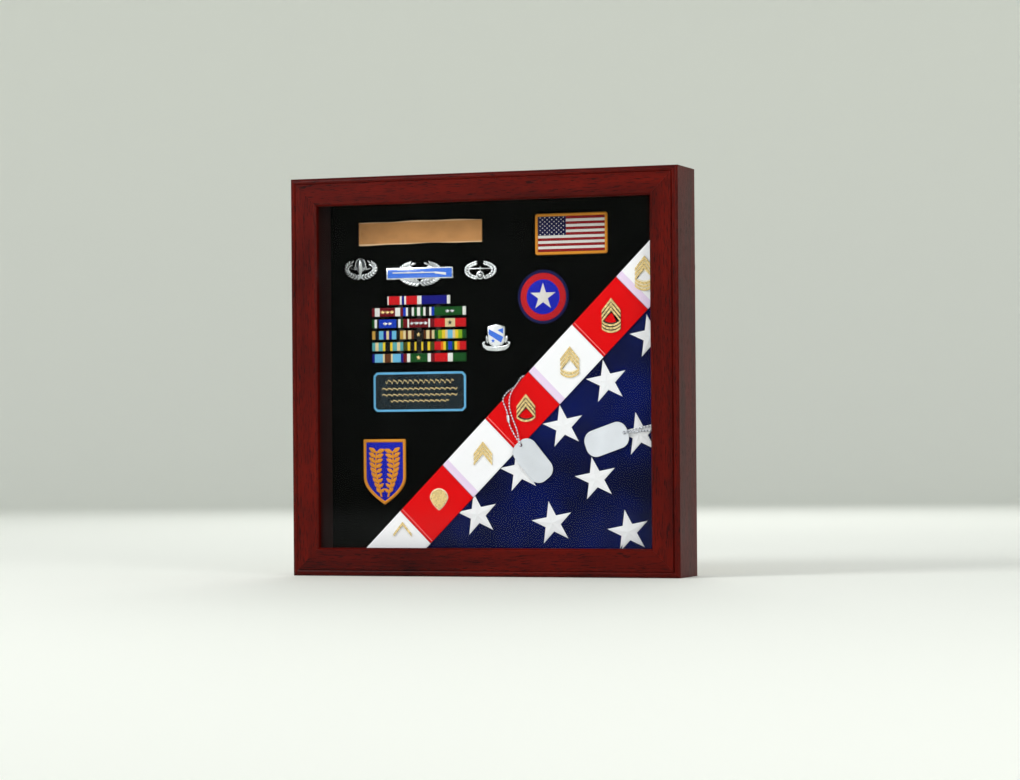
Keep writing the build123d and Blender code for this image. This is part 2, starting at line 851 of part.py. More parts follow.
with BuildPart() as crest_pin:
    width, height = crest_size
    scroll_height = height * 0.26
    shield_width = width * 0.62
    with BuildSketch(badge_plane(velvet_front, crest_at)):
        with Locations((0, (scroll_height - height) / 2)):
            SlotOverall(width, scroll_height)
    extrude(amount=badge_thickness)
    with BuildSketch(badge_plane(velvet_front, crest_at)):
        dome_outline(shield_width, height - scroll_height * 0.8, scroll_height * 0.4)
    extrude(amount=badge_thickness + enamel_rise)
    add_posts(post_pair(crest_at, crest_size[0] / 2), velvet_front, post_length)
save(crest_pin, "crest_pin")

# ---------------------------------------------------------------- ribbon rack
rack_front = velvet_front - rack_thickness
top_row_z = rack_z + rack_height / 2 - ribbon_height / 2
row_heights = [top_row_z - row * ribbon_pitch_z for row in range(ribbon_rows)]


def row_centres(row):
    """Centres of one row's ribbons, from left to right."""
    count = ribbon_counts[row]
    start = rack_x - (count - 1) * ribbon_pitch_x / 2
    return [(start + step * ribbon_pitch_x, row_heights[row]) for step in range(count)]


rack_rail_height = ribbon_height - 2 * rack_rail_margin

with BuildPart() as ribbon_rack:
    with BuildSketch(face_plane(velvet_front)):
        for row, z in enumerate(row_heights):
            with Locations((rack_x, z)):
                Rectangle(ribbon_counts[row] * ribbon_pitch_x - 2 * rack_rail_inset, rack_rail_height)
        for step in (-1, 0, 1):
            with Locations((rack_x + step * ribbon_width * 0.6, rack_z)):
                Rectangle(rack_spine_width, rack_height - 2 * rack_rail_margin)
    extrude(amount=rack_thickness)
    add_posts(post_pair((rack_x, rack_z + ribbon_pitch_z / 2), rack_width), velvet_front, post_length)
save(ribbon_rack, "ribbon_rack")

for row in range(ribbon_rows):
    with BuildPart() as ribbon_row:
        with BuildSketch(face_plane(rack_front)):
            with Locations(*row_centres(row)):
                Rectangle(ribbon_width, ribbon_height)
        extrude(amount=ribbon_thickness)
        fronts = ribbon_row.faces().filter_by(Axis.Y).group_by(Axis.Y)[0]
        fillet(fronts.edges().filter_by(Axis.X), ribbon_fold_r)
    save(ribbon_row, f"ribbon_row_{row + 1}")


# ---------------------------------------------------------------- dog tags and their chains
def tag_plane(hole, hole_depth, heading, dip):
    """A tag's middle plane: its x runs from the hole's end along the tag, dipping backwards."""
    along, down = radians(heading), radians(dip)
    return Plane(
        origin=(hole[0], y_front + hole_depth, hole[1]),
        x_dir=(cos(down) * cos(along), sin(down), cos(down) * sin(along)),
        z_dir=(sin(down) * cos(along), -cos(down), sin(down) * sin(along)),
    )


tags = (
    tag_plane((fold_mid_x + 17.05, fold_mid_z - 53.95), field_front - 4.0, -52.0, 4.3),
    tag_plane((flag_right - 34.5, flag_bottom + 125.5), field_front - 3.0, 198.8, 2.9),
)
for number, plane in enumerate(tags, 1):
    with BuildPart() as dog_tag:
        with BuildSketch(plane):
            with Locations((tag_length / 2 - tag_hole_inset, 0)):
                RectangleRounded(tag_length, tag_width, tag_corner)
            with Locations((0, 0)):
                Circle(tag_hole_r, mode=Mode.SUBTRACT)
        extrude(amount=tag_sheet / 2, both=True)
        with BuildSketch(plane):
            with Locations((tag_length / 2 - tag_hole_inset, 0)):
                RectangleRounded(tag_length, tag_width, tag_corner)
                inner = (tag_length - 2 * tag_rim, tag_width - 2 * tag_rim, tag_corner - tag_rim)
                RectangleRounded(*inner, mode=Mode.SUBTRACT)
        extrude(amount=tag_rim_height / 2, both=True)
    save(dog_tag, f"dog_tag_{number}")

# Each chain's route, from the top of its tag's hole round and back to the underside.
chain_routes = (
    (
        (39.3, -21.2, 140.3),
        (37.7, -21.1, 147.2),
        (35.4, -18.0, 155.0),
        (31.8, -17.3, 163.4),
        (28.2, -17.3, 172.2),
        (25.9, -17.4, 181.3),
        (26.0, -17.4, 190.4),
        (29.2, -17.8, 198.6),
        (35.2, -17.9, 206.0),
        (39.1, -15.0, 213.6),
        (40.4, -5.8, 214.6),
        (34.6, -1.2, 208.7),
        (28.3, -5.0, 202.5),
        (25.4, -12.0, 199.8),
        (21.2, -16.2, 195.4),
        (17.9, -17.5, 188.6),
        (21.4, -17.7, 181.8),
        (23.9, -18.0, 175.4),
        (25.7, -18.0, 162.6),
        (30.2, -17.7, 154.0),
        (34.5, -17.35, 146.6),
        (38.6, -17.25, 141.0),
    ),
    (
        (155.0, -20.2, 152.5),
        (161.4, -20.0, 154.6),
        (168.8, -17.0, 156.6),
        (177.2, -16.35, 158.4),
        (185.0, -16.4, 159.5),
        (191.6, -16.2, 160.6),
        (191.5, -6.6, 161.2),
        (191.4, -0.2, 156.6),
        (191.5, -1.4, 149.6),
        (191.4, -8.2, 147.6),
        (191.6, -16.2, 152.2),
        (184.6, -16.5, 154.4),
        (176.6, -16.35, 154.6),
        (168.4, -16.4, 153.4),
        (161.4, -16.35, 152.9),
        (155.6, -16.35, 152.2),
    ),
)


def bend_radii(points):
    """The largest arc that each corner of a route leaves room for."""
    radii = []
    for before, here, after in zip(points, points[1:], points[2:]):
        run_in, run_out = Vector(*here) - Vector(*before), Vector(*after) - Vector(*here)
        half_turn = radians(run_in.get_angle(run_out)) / 2
        radii.append(0.45 * min(run_in.length, run_out.length) / tan(half_turn))
    return radii


for number, points in enumerate(chain_routes, 1):
    with BuildPart() as tag_chain:
        with BuildLine() as route:
            FilletPolyline(*points, radius=bend_radii(points))
        with BuildSketch(Plane(origin=route.wire() @ 0, z_dir=route.wire() % 0)):
            Circle(chain_r)
        sweep(path=route.wire())
    print(f"chain {number}: {route.wire().length:.1f} mm long,", end=" ")
    print("bends", ", ".join(f"{r:.1f}" for r in bend_radii(points)))
    stretch = tag_chain.part.volume / (pi * chain_r**2 * route.wire().length)
    print(f"volume over section times length {stretch:.4f}")
    save(tag_chain, f"tag_chain_{number}")

clasp_from, clasp_to = Vector(*chain_routes[0][17]), Vector(*chain_routes[0][18])
with BuildPart() as chain_clasp:
    with BuildSketch(Plane(origin=(clasp_from + clasp_to) / 2, z_dir=clasp_to - clasp_from)):
        Circle(clasp_r)
        Circle(chain_r + post_clearance, mode=Mode.SUBTRACT)
    extrude(amount=clasp_length / 2, both=True)
save(chain_clasp, "chain_clasp")
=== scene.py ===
"""Looks of the wall display case for a folded flag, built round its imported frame.

Places come from the frame, in metres. Small badge and patch shapes are drawn in millimetres
on a seat, a matrix that puts them on the surface they are fixed to.
"""

import json
from functools import partialmethod
from math import atan2, cos, pi, radians, sin, sqrt

import bmesh
import bpy
from bpy.props import FloatProperty, FloatVectorProperty, IntProperty, PointerProperty
from mathutils import Matrix, Vector, noise


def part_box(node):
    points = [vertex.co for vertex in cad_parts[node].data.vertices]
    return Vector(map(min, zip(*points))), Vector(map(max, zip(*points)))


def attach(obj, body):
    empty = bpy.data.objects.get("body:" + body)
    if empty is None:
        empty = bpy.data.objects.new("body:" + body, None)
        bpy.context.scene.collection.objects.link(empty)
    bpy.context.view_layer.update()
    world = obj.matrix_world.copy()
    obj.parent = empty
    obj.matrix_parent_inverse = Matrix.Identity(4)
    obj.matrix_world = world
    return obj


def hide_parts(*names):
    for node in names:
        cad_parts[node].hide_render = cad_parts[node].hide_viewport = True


bl_info = {
    "name": "Flag display case",
    "version": (1, 0, 0),
    "blender": (4, 5, 0),
    "location": "3D View > Sidebar > Display case",
    "description": "Builds the looks of a wall display case that holds a folded flag",
    "category": "Object",
}

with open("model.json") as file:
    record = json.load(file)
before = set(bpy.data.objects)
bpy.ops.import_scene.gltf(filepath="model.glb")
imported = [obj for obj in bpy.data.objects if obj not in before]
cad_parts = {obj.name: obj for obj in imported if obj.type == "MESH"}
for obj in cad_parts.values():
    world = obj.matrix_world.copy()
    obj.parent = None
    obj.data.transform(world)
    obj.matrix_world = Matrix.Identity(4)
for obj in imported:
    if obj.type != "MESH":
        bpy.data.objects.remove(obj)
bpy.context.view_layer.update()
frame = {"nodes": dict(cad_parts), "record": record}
slots = {part["node"]: part["material_slot"] for part in frame["record"]["subparts"]}
MM = 0.001
CASE = "case"


# ---- colours and settings
def tint(red, green, blue):
    """A display colour, 0 to 255, as linear light."""
    return tuple((part / 255) ** 2.2 for part in (red, green, blue))


def times(colour, share):
    """A colour made darker or lighter."""
    return tuple(part * share for part in colour)


def opaque(colour):
    """A colour with full alpha, as the shader's sockets want it."""
    return (*colour[:3], 1.0)


def colour_setting(name, description, *parts):
    """A colour that a user may change."""
    return FloatVectorProperty(
        name=name, description=description, subtype="COLOR", min=0, max=1, default=tint(*parts)
    )


def size_setting(name, description, millimetres):
    """A length that a user may change."""
    return FloatProperty(
        name=name, description=description, unit="LENGTH", default=millimetres * MM, precision=5
    )


class CaseSettings(bpy.types.PropertyGroup):
    wood: colour_setting("Wood", "Light figure of the stained mahogany", 96, 18, 4)
    wood_dark: colour_setting("Dark figure", "Dark figure of the stained mahogany", 46, 6, 2)
    wood_pore: colour_setting("Pores", "Open pores of the wood", 16, 2, 2)
    lining: colour_setting("Lining", "Stained strips that line the inside", 38, 7, 5)
    plywood: colour_setting("Back board", "Face veneer of the plywood back", 196, 160, 116)
    velvet: colour_setting("Velvet", "Black velvet on the backing board", 2, 3, 3)
    edge_ease: size_setting("Edge easing", "Rounding along the moulding's edges", 0.5)
    grain_length: FloatProperty(
        name="Grain length", description="How far the figure is drawn out along a rail", default=14.0
    )


class FlagSettings(bpy.types.PropertyGroup):
    navy: colour_setting("Navy", "Star field", 0, 20, 74)
    red: colour_setting("Red", "Red stripes", 226, 8, 16)
    white: colour_setting("White", "White stripes and stars", 244, 244, 248)
    seam: colour_setting("Seam strip", "Overlap where a white stripe is joined", 222, 196, 230)
    stripe: size_setting("Stripe", "Width of a stripe", 70.0)
    seam_width: size_setting("Seam strip width", "Width of the overlap beside a seam", 8.5)
    star: size_setting("Star radius", "Centre of a star to its points", 23.8)
    star_relief: size_setting("Star relief", "Height of a star's sewn ridges", 0.7)
    star_turn: FloatProperty(
        name="Star turn", description="Turn of the stars", subtype="ANGLE", default=radians(11)
    )
    layers: IntProperty(name="Layers", description="Folded layers in the pack", default=22)
    rumple: size_setting("Rumple", "Depth of the soft folds in the star field", 1.6)


class TrimSettings(bpy.types.PropertyGroup):
    gold: colour_setting("Gold", "Gilt metal of pins", 250, 218, 150)
    silver: colour_setting("Silver", "Silver metal of badges", 226, 230, 234)
    steel: colour_setting("Steel", "Dull stainless tags", 224, 228, 236)
    zinc: colour_setting("Zinc", "Plated fittings on the back", 176, 176, 172)
    enamel: colour_setting("Enamel", "Dark enamel between a pin's stripes", 44, 26, 18)
    pale_enamel: colour_setting("Pale enamel", "Pale enamel between a pin's stripes", 238, 228, 200)
    badge_blue: colour_setting("Badge blue", "Blue enamel of the bar badge", 52, 112, 228)
    tape: colour_setting("Tape", "Cloth of the name tape", 196, 140, 88)
    patch_gold: colour_setting("Patch gold", "Gold thread of the patches", 248, 160, 50)
    patch_blue: colour_setting("Patch blue", "Blue thread of the patches", 4, 28, 190)
    plaque: colour_setting("Plaque", "Field of the engraved plate", 5, 30, 40)
    plaque_edge: colour_setting("Plaque edge", "Line round the engraved plate", 96, 168, 214)


class StageSettings(bpy.types.PropertyGroup):
    floor: colour_setting("Floor", "Pale floor and backdrop", 242, 244, 236)
    key: FloatProperty(name="Key light", description="Power of the main light", default=66.0)
    fill: FloatProperty(name="Fill light", description="Power of the fill light", default=26.0)
    sky: FloatProperty(name="Sky", description="Strength of the surrounding light", default=0.5)


class DisplayCaseSettings(bpy.types.PropertyGroup):
    case: PointerProperty(type=CaseSettings)
    flag: PointerProperty(type=FlagSettings)
    trim: PointerProperty(type=TrimSettings)
    stage: PointerProperty(type=StageSettings)


# ---- shader expressions
class Value:
    """A shader socket that takes part in Python sums, which add the Math nodes."""

    def __init__(self, paint, socket):
        self.paint = paint
        self.socket = socket

    def math(self, operation, *others):
        return self.paint.node("ShaderNodeMath", {"operation": operation}, self, *others)

    def __rsub__(self, other):
        return self.paint.node("ShaderNodeMath", {"operation": "SUBTRACT"}, other, self)

    __add__ = __radd__ = partialmethod(math, "ADD")
    __sub__ = partialmethod(math, "SUBTRACT")
    __mul__ = __rmul__ = partialmethod(math, "MULTIPLY")
    __truediv__ = partialmethod(math, "DIVIDE")
    __gt__ = partialmethod(math, "GREATER_THAN")
    __lt__ = partialmethod(math, "LESS_THAN")
    __abs__ = partialmethod(math, "ABSOLUTE")
    sine = partialmethod(math, "SINE")
    whole = partialmethod(math, "FLOOR")


class Paint:
    """A material under construction, with its Principled shader."""

    def __init__(self, name, colour, roughness, metallic=0.0, **constants):
        self.material = bpy.data.materials.new(name)
        self.material.use_nodes = True
        self.material.diffuse_color = opaque(colour)
        self.tree = self.material.node_tree
        self.shader = self.tree.nodes["Principled BSDF"]
        constants.update(base_color=opaque(colour), roughness=roughness, metallic=metallic)
        for socket, value in constants.items():
            self.set(socket.replace("_", " ").title().replace("Ior", "IOR"), value)

    def fill(self, socket, value):
        if isinstance(value, Value):
            self.tree.links.new(value.socket, socket)
        else:
            socket.default_value = value

    def set(self, socket, value):
        self.fill(self.shader.inputs[socket], value)

    def node(self, kind, settings, *values, out=0, **named):
        """A node of a kind, its settings made first, its sockets filled in order or by name."""
        made = self.tree.nodes.new(kind)
        for name, value in settings.items():
            if name == "stops":
                stops = made.color_ramp.elements
                for index, (at, colour) in enumerate(value):
                    stop = stops[index] if index < len(stops) else stops.new(at)
                    stop.position = at
                    stop.color = opaque(colour)
            else:
                setattr(made.color_ramp if name == "interpolation" else made, name, value)
        for key, value in (*enumerate(values), *named.items()):
            self.fill(made.inputs[key], value)
        return Value(self, made.outputs[out])

    def place(self):
        """Object coordinates, as a vector."""
        return self.node("ShaderNodeTexCoord", {}, out="Object")

    def axes(self):
        """Object coordinates, as x, y and z."""
        split = self.node("ShaderNodeSeparateXYZ", {}, self.place())
        return tuple(Value(self, output) for output in split.socket.node.outputs)

    def noise(self, scale, detail=3.0, roughness=0.5, stretch=None):
        """Soft noise, stretched along the axes if three factors are given."""
        place = self.place()
        if stretch:
            place = self.node("ShaderNodeMapping", {}, Vector=place, Scale=stretch)
        sockets = {"Vector": place, "Scale": scale, "Detail": detail, "Roughness": roughness}
        return self.node("ShaderNodeTexNoise", {}, **sockets)

    def blend(self, share, first, second):
        """A colour between two colours."""
        made = self.node("ShaderNodeMix", {"data_type": "RGBA"}, share, out=2)
        for number, colour in ((6, first), (7, second)):
            socket = made.socket.node.inputs[number]
            self.fill(socket, colour if isinstance(colour, Value) else opaque(colour))
        return made

    def shaded(self, share, colour, dark):
        """A colour that falls off to a darker share of itself."""
        return self.blend(share, times(colour, dark), colour)

    def smooth(self, value, low, high):
        """A value eased from a range to 0 and 1."""
        settings = {"interpolation_type": "SMOOTHSTEP"}
        return self.node("ShaderNodeMapRange", settings, value, low, high)

    def ramp(self, value, stops, interpolation="LINEAR"):
        settings = {"interpolation": interpolation, "stops": stops}
        return self.node("ShaderNodeValToRGB", settings, value)

    def bump(self, height, depth, strength):
        sockets = {"Strength": strength, "Distance": depth, "Height": height}
        self.set("Normal", self.node("ShaderNodeBump", {}, **sockets))


def ribs(axis, pitch):
    """Height of ribs that cross an axis, 0 to 1."""
    return (axis * (2 * pi / pitch)).sine() * 0.5 + 0.5


def weave(paint):
    """Height of the flag's plain weave, 0 to 1."""
    x, _, z = paint.axes()
    turns = 2 * pi / (0.7 * MM)
    return (x * turns).sine() * (z * turns).sine() * 0.5 + 0.5


# ---- materials
def wood_material(name, along, light, dark, pore, grain_length):
    """Stained and lacquered wood with its figure along one axis."""
    paint = Paint(name, light, 0.42, coat_weight=0.04, coat_roughness=0.2, specular_ior_level=0.08)

    def drawn_out(finer, *settings):
        stretch = [1 / grain_length if axis == along else 1.0 for axis in "xyz"]
        return paint.noise(*settings, stretch=[part * finer for part in stretch])

    figure = drawn_out(1, 46, 4, 0.6)
    mottle = paint.noise(16, 2)
    streak = drawn_out(9, 62, 2)
    flecks = paint.smooth(drawn_out(26, 60, 1), 0.57, 0.67)
    mixed = figure * 0.6 + mottle * 0.25 + streak * 0.15
    middle = tuple((first + second) / 2 for first, second in zip(light, dark))
    body = paint.ramp(mixed, ((0.36, dark), (0.5, middle), (0.66, light)))
    paint.set("Base Color", paint.blend(flecks * 0.8, body, pore))
    paint.set("Roughness", flecks * 0.18 + 0.38 + (mottle - 0.5) * 0.12)
    paint.bump(flecks * -0.6 + streak * 0.25, 0.00012, 0.6)
    return paint.material


def velvet_material(colour):
    """Short dense pile that drinks light and glows a little at the edge."""
    paint = Paint(
        "velvet", colour, 0.95, sheen_weight=0.015, sheen_roughness=0.5, specular_ior_level=0.0
    )
    nap = paint.smooth(paint.noise(24, 3), 0.4, 0.7)
    lighter = tuple(part * 2.0 + 0.0008 for part in colour)
    paint.set("Base Color", paint.blend(nap, colour, lighter))
    paint.bump(paint.noise(2600, 1), 0.0001, 0.3)
    return paint.material


def plain_material(name, colour, roughness, grain=900.0, depth=0.00005, **constants):
    """A moulded, painted or plated surface with fine unevenness."""
    paint = Paint(name, colour, roughness, **constants)
    broad = paint.noise(45, 2)
    paint.set("Base Color", paint.shaded(broad, colour, 0.82))
    paint.set("Roughness", (broad - 0.5) * 0.12 + roughness)
    paint.bump(paint.noise(grain, 2), depth, 0.4)
    return paint.material


def metal_material(name, colour, roughness, brushed=False):
    """Plated or polished metal, with upright brush lines if it is brushed."""
    paint = Paint(name, colour, roughness, 1.0)
    wear = paint.noise(160, 3)
    stain = paint.smooth(paint.noise(38, 2) * 0.6 + wear * 0.4, 0.35, 0.65)
    paint.set("Base Color", paint.shaded(stain, colour, 0.62))
    paint.set("Roughness", wear * 0.16 + roughness - 0.08)
    if brushed:
        paint.bump(paint.noise(1, 2, stretch=(900.0, 900.0, 24.0)), 0.00004, 0.5)
    else:
        paint.bump(wear, 0.00003, 0.4)
    return paint.material


def relief_material(name, raised, sunk, level, band):
    """Polished metal in front of a depth, and enamel in its recesses behind it."""
    paint = Paint(name, raised, 0.25, 1.0)
    _, y, _ = paint.axes()
    front = paint.smooth(y, level + band, level - band)
    wear = paint.noise(300, 3)
    paint.set("Base Color", paint.blend(front, sunk, paint.shaded(wear, raised, 0.7)))
    paint.set("Metallic", front * 0.5 + 0.05)
    paint.set("Roughness", wear * 0.15 + 0.2)
    paint.bump(wear, 0.00003, 0.4)
    return paint.material


def thread_material(name, colour, diagonal, pitch=0.55 * MM, depth=0.00018, dark=0.7):
    """Satin stitches side by side, upright or across the diagonal."""
    paint = Paint(name, colour, 0.6, sheen_weight=0.05, specular_ior_level=0.2)
    x, _, z = paint.axes()
    wander = paint.noise(420, 2)
    stitches = ribs((x + z if diagonal else x) + (wander - 0.5) * (pitch * 0.9), pitch)
    paint.set("Base Color", paint.shaded(stitches * 0.6 + wander * 0.4, colour, dark))
    paint.bump(stitches, depth, 0.8)
    return paint.material


def glass_material():
    """Clear coated glass, nearly all see-through."""
    paint = Paint("clear_glass", (0.90, 0.95, 0.93), 0.03, 1.0, alpha=0.004)
    paint.set("Roughness", paint.noise(14, 2) * 0.04 + 0.01)
    return paint.material


# ---- building pieces
def linked_object(name, bm, materials, sharp):
    """A scene object from a bmesh, smooth but kept crisp along edges steeper than an angle."""
    for face in bm.faces:
        face.smooth = True
    for edge in bm.edges:
        edge.smooth = edge.calc_face_angle(0) < radians(sharp)
    mesh = bpy.data.meshes.new(name)
    bm.to_mesh(mesh)
    bm.free()
    for material in materials:
        mesh.materials.append(material)
    made = bpy.data.objects.new(name, mesh)
    bpy.context.scene.collection.objects.link(made)
    return made


def place_piece(name, bm, materials, slot, body=CASE, sharp=38):
    """Turns a finished bmesh into a piece that rides on a body."""
    piece = linked_object(name, bm, materials, sharp)
    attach(piece, body)
    return piece


def eased_copy(node, material, ease, body=CASE, segments=2, limit=35):
    """A CAD node's own shape with its edges eased, standing for the node."""
    bm = bmesh.new()
    bm.from_mesh(frame["nodes"][node].data)
    bmesh.ops.remove_doubles(bm, verts=bm.verts, dist=2e-6)
    bmesh.ops.dissolve_limit(bm, angle_limit=radians(0.5), verts=bm.verts, edges=bm.edges)
    piece = place_piece(f"{node}_finish", bm, [material], slots[node], body)
    bevel = piece.modifiers.new("Eased edges", "BEVEL")
    bevel.width = ease
    bevel.segments = segments
    bevel.limit_method = "ANGLE"
    bevel.angle_limit = radians(limit)
    bevel.harden_normals = True
    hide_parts(node)
    return piece


def eased_edges(bm, edges, offset, segments):
    """Rounds some of a bmesh's edges."""
    bmesh.ops.bevel(
        bm, geom=edges, offset=offset, segments=segments, profile=0.5, affect="EDGES", material=-1
    )


def front_outwards(bm):
    """Turns a cloth's faces towards the viewer."""
    bmesh.ops.reverse_faces(bm, faces=[face for face in bm.faces if face.normal.y > 0])


def sheet_mesh(columns, rows, place):
    """A cloth grid whose corners run from 0 to 1 each way, put in place by a function."""
    bm = bmesh.new()
    bmesh.ops.create_grid(bm, x_segments=columns, y_segments=rows, size=0.5)
    for vert in bm.verts:
        vert.co = place(vert.co.x + 0.5, vert.co.y + 0.5)
    return bm


def wire(bm, start, end, radius, sides, closed):
    """A straight round wire; a closed one has caps and overruns its ends a little."""
    run = end - start
    turned = run.to_track_quat("Z", "Y").to_matrix().to_4x4()
    bmesh.ops.create_cone(
        bm,
        cap_ends=closed,
        segments=sides,
        radius1=radius,
        radius2=radius,
        depth=run.length + (radius if closed else 0),
        matrix=Matrix.Translation((start + end) / 2) @ turned,
    )


def extent(node):
    """A node's middle, and half its width and half its height."""
    low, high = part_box(node)
    return (low + high) / 2, (high[0] - low[0]) / 2, (high[2] - low[2]) / 2


def velvet_face():
    """Where the velvet's face stands along Y."""
    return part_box("velvet_cover")[0][1]


def seat_at(x, z):
    """A seat in millimetres on the velvet's face, with its Z towards the viewer."""
    facing = Matrix(((1, 0, 0, x), (0, 0, -1, velvet_face()), (0, 1, 0, z), (0, 0, 0, 1)))
    return facing @ Matrix.Scale(MM, 4)


class Relief:
    """A small badge under construction: shapes in millimetres, added and painted in turn."""

    def __init__(self, seat):
        self.seat = seat
        self.bm = bmesh.new()
        self.materials = []

    def paint(self, material):
        """Gives a material to everything added since the last call."""
        if material not in self.materials:
            self.materials.append(material)
        number = self.materials.index(material) + 1
        for face in self.bm.faces:
            if face.material_index == 0:
                face.material_index = number

    def plate(self, outline, low, high, ease=0.2, material=None):
        """A flat plate with its front edges rounded, painted if a material is given."""
        base = self.bm.faces.new([self.bm.verts.new((x, y, low)) for x, y in outline])
        grown = bmesh.ops.extrude_face_region(self.bm, geom=[base])["geom"]
        front = [part for part in grown if isinstance(part, bmesh.types.BMVert)]
        bmesh.ops.translate(self.bm, verts=front, vec=(0, 0, high - low))
        base.normal_flip()
        caps = [part for part in grown if isinstance(part, bmesh.types.BMFace)]
        eased_edges(self.bm, list({edge for cap in caps for edge in cap.edges}), ease, 2)
        if material:
            self.paint(material)

    def leaf(self, x, y, length, width, turn, low, height):
        """A pointed, crowned leaf or feather with its root at a place."""
        made = bmesh.ops.create_uvsphere(self.bm, u_segments=8, v_segments=6, radius=1)["verts"]
        for vert in made:
            along = max(-1.0, min(1.0, vert.co.x))
            narrow = (1 - abs(along) ** 1.6) * 0.5 + 0.5
            across, up = vert.co.y * width / 2 * narrow, vert.co.z * height / 2
            vert.co = ((along + 1) * length / 2, across, up)
        spot = Matrix.Translation((x, y, low + height / 2)) @ Matrix.Rotation(turn, 4, "Z")
        bmesh.ops.transform(self.bm, matrix=spot, verts=made)

    def rod(self, points, radius, sides=8):
        """A round wire through points, with closed ends."""
        for start, end in zip(points, points[1:]):
            wire(self.bm, Vector(start), Vector(end), radius, sides, True)

    def border(self, outline, width, height, material):
        """A thick overlocked edge round a patch."""
        points = [(x, y, height / 2) for x, y in outline]
        self.rod(points + points[:1], width / 2)
        self.paint(material)

    def dome(self, x, y, low, radius, height, sides=20):
        """A low round boss."""
        spot = Matrix.Translation((x, y, low)) @ Matrix.Diagonal((radius, radius, height, 1))
        bmesh.ops.create_uvsphere(self.bm, u_segments=sides, v_segments=8, radius=1, matrix=spot)

    def finish(self, name, slot, *nodes):
        """Puts the badge on its seat, standing for its CAD nodes."""
        bmesh.ops.transform(self.bm, matrix=self.seat, verts=self.bm.verts)
        bmesh.ops.recalc_face_normals(self.bm, faces=self.bm.faces)
        for face in self.bm.faces:
            face.material_index -= 1
        piece = place_piece(name, self.bm, self.materials, slot)
        if nodes:
            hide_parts(*nodes)


class NodeRelief(Relief):
    """A badge on a CAD node's place, which stands for that node."""

    def __init__(self, node):
        low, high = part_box(node)
        super().__init__(seat_at((low[0] + high[0]) / 2, (low[2] + high[2]) / 2))
        self.node = node
        self.width, self.height = (high[0] - low[0]) / MM, (high[2] - low[2]) / MM

    def finish(self, name):
        super().finish(name, slots[self.node], self.node)


def rounded_rectangle(width, height, radius):
    """Outline of a rectangle with round corners, about its centre."""
    points = []
    for quarter in range(4):
        side_x = 1 if quarter in (0, 3) else -1
        side_y = 1 if quarter in (0, 1) else -1
        centre = (side_x * (width / 2 - radius), side_y * (height / 2 - radius))
        for step in range(5):
            turn = pi / 2 * (quarter + step / 4)
            points.append((centre[0] + radius * cos(turn), centre[1] + radius * sin(turn)))
    return points


def ellipse(width, height, steps=40, start=0.0, sweep=2 * pi):
    """Points round an ellipse, or along a part of it."""
    closed = abs(sweep - 2 * pi) < 1e-6
    turns = [start + sweep * step / steps for step in range(steps if closed else steps + 1)]
    return [(width / 2 * cos(turn), height / 2 * sin(turn)) for turn in turns]


def star_outline(radius, turn=0.0):
    """Outline of a five-pointed star with one point up."""
    reaches = (radius, radius * 0.382) * 5
    turns = [pi / 2 + turn + pi * step / 5 for step in range(10)]
    return [(reach * cos(angle), reach * sin(angle)) for reach, angle in zip(reaches, turns)]


def moved(outline, x, y):
    """An outline moved to another place."""
    return [(point[0] + x, point[1] + y) for point in outline]


# ---- the case
class CasePiece:
    """What the operators share."""

    bl_options = {"REGISTER", "UNDO"}

    @property
    def settings(self):
        return bpy.context.scene.display_case


class CASE_OT_frame(CasePiece, bpy.types.Operator):
    """Builds the moulding's four rails, the lining strips and the glass"""

    bl_idname = "case.frame"
    bl_label = "Frame and glass"

    def execute(self, context):
        case = self.settings.case
        colours = (case.wood, case.wood_dark, case.wood_pore)
        woods = {
            along: wood_material(f"mahogany_{along}", along, *colours, case.grain_length)
            for along in "xz"
        }
        for side, along in (("top", "x"), ("bottom", "x"), ("left", "z"), ("right", "z")):
            eased_copy(f"frame_{side}", woods[along], case.edge_ease, segments=3)
            lining = plain_material(f"lining_{side}", case.lining, 0.55, grain=300, depth=0.0001)
            eased_copy(f"spacer_{side}", lining, 0.3 * MM)
        eased_copy("glass_pane", glass_material(), 0.3 * MM)
        return {"FINISHED"}


class CASE_OT_velvet(CasePiece, bpy.types.Operator):
    """Covers the backing board with stretched velvet"""

    bl_idname = "case.velvet"
    bl_label = "Velvet and boards"

    def execute(self, context):
        low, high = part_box("velvet_cover")
        middle, half_x, half_z = extent("velvet_cover")
        wrap = high[1] - low[1]
        nap_depth = 0.12 * MM

        def drape(u, v):
            across = (u - 0.5) * 2 * (half_x + wrap)
            along = (v - 0.5) * 2 * (half_z + wrap)
            over = max(abs(across) - half_x, abs(along) - half_z, 0.0)
            x = max(-half_x, min(half_x, across))
            z = max(-half_z, min(half_z, along))
            nap = noise.noise(Vector((x, z, 0)) * 34) * nap_depth
            y = low[1] + over + (nap + nap_depth if over == 0 else 0)
            return Vector((middle[0] + x, y, middle[2] + z))

        cloth = sheet_mesh(110, 110, drape)
        front_outwards(cloth)
        velvet = velvet_material(self.settings.case.velvet)
        piece = place_piece("velvet_sheet", cloth, [velvet], slots["velvet_cover"])
        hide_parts("velvet_cover")
        board = plain_material("board", tint(206, 198, 182), 0.85, grain=700, depth=0.0001)
        eased_copy("backing_board", board, 0.3 * MM)
        return {"FINISHED"}


# ---- the flag
def arc(centre, radius, start, sweep, steps):
    """Points round a fold, as (t, y)."""
    turns = [start + sweep * step / steps for step in range(steps + 1)]
    return [(centre[0] + radius * cos(turn), centre[1] + radius * sin(turn)) for turn in turns]


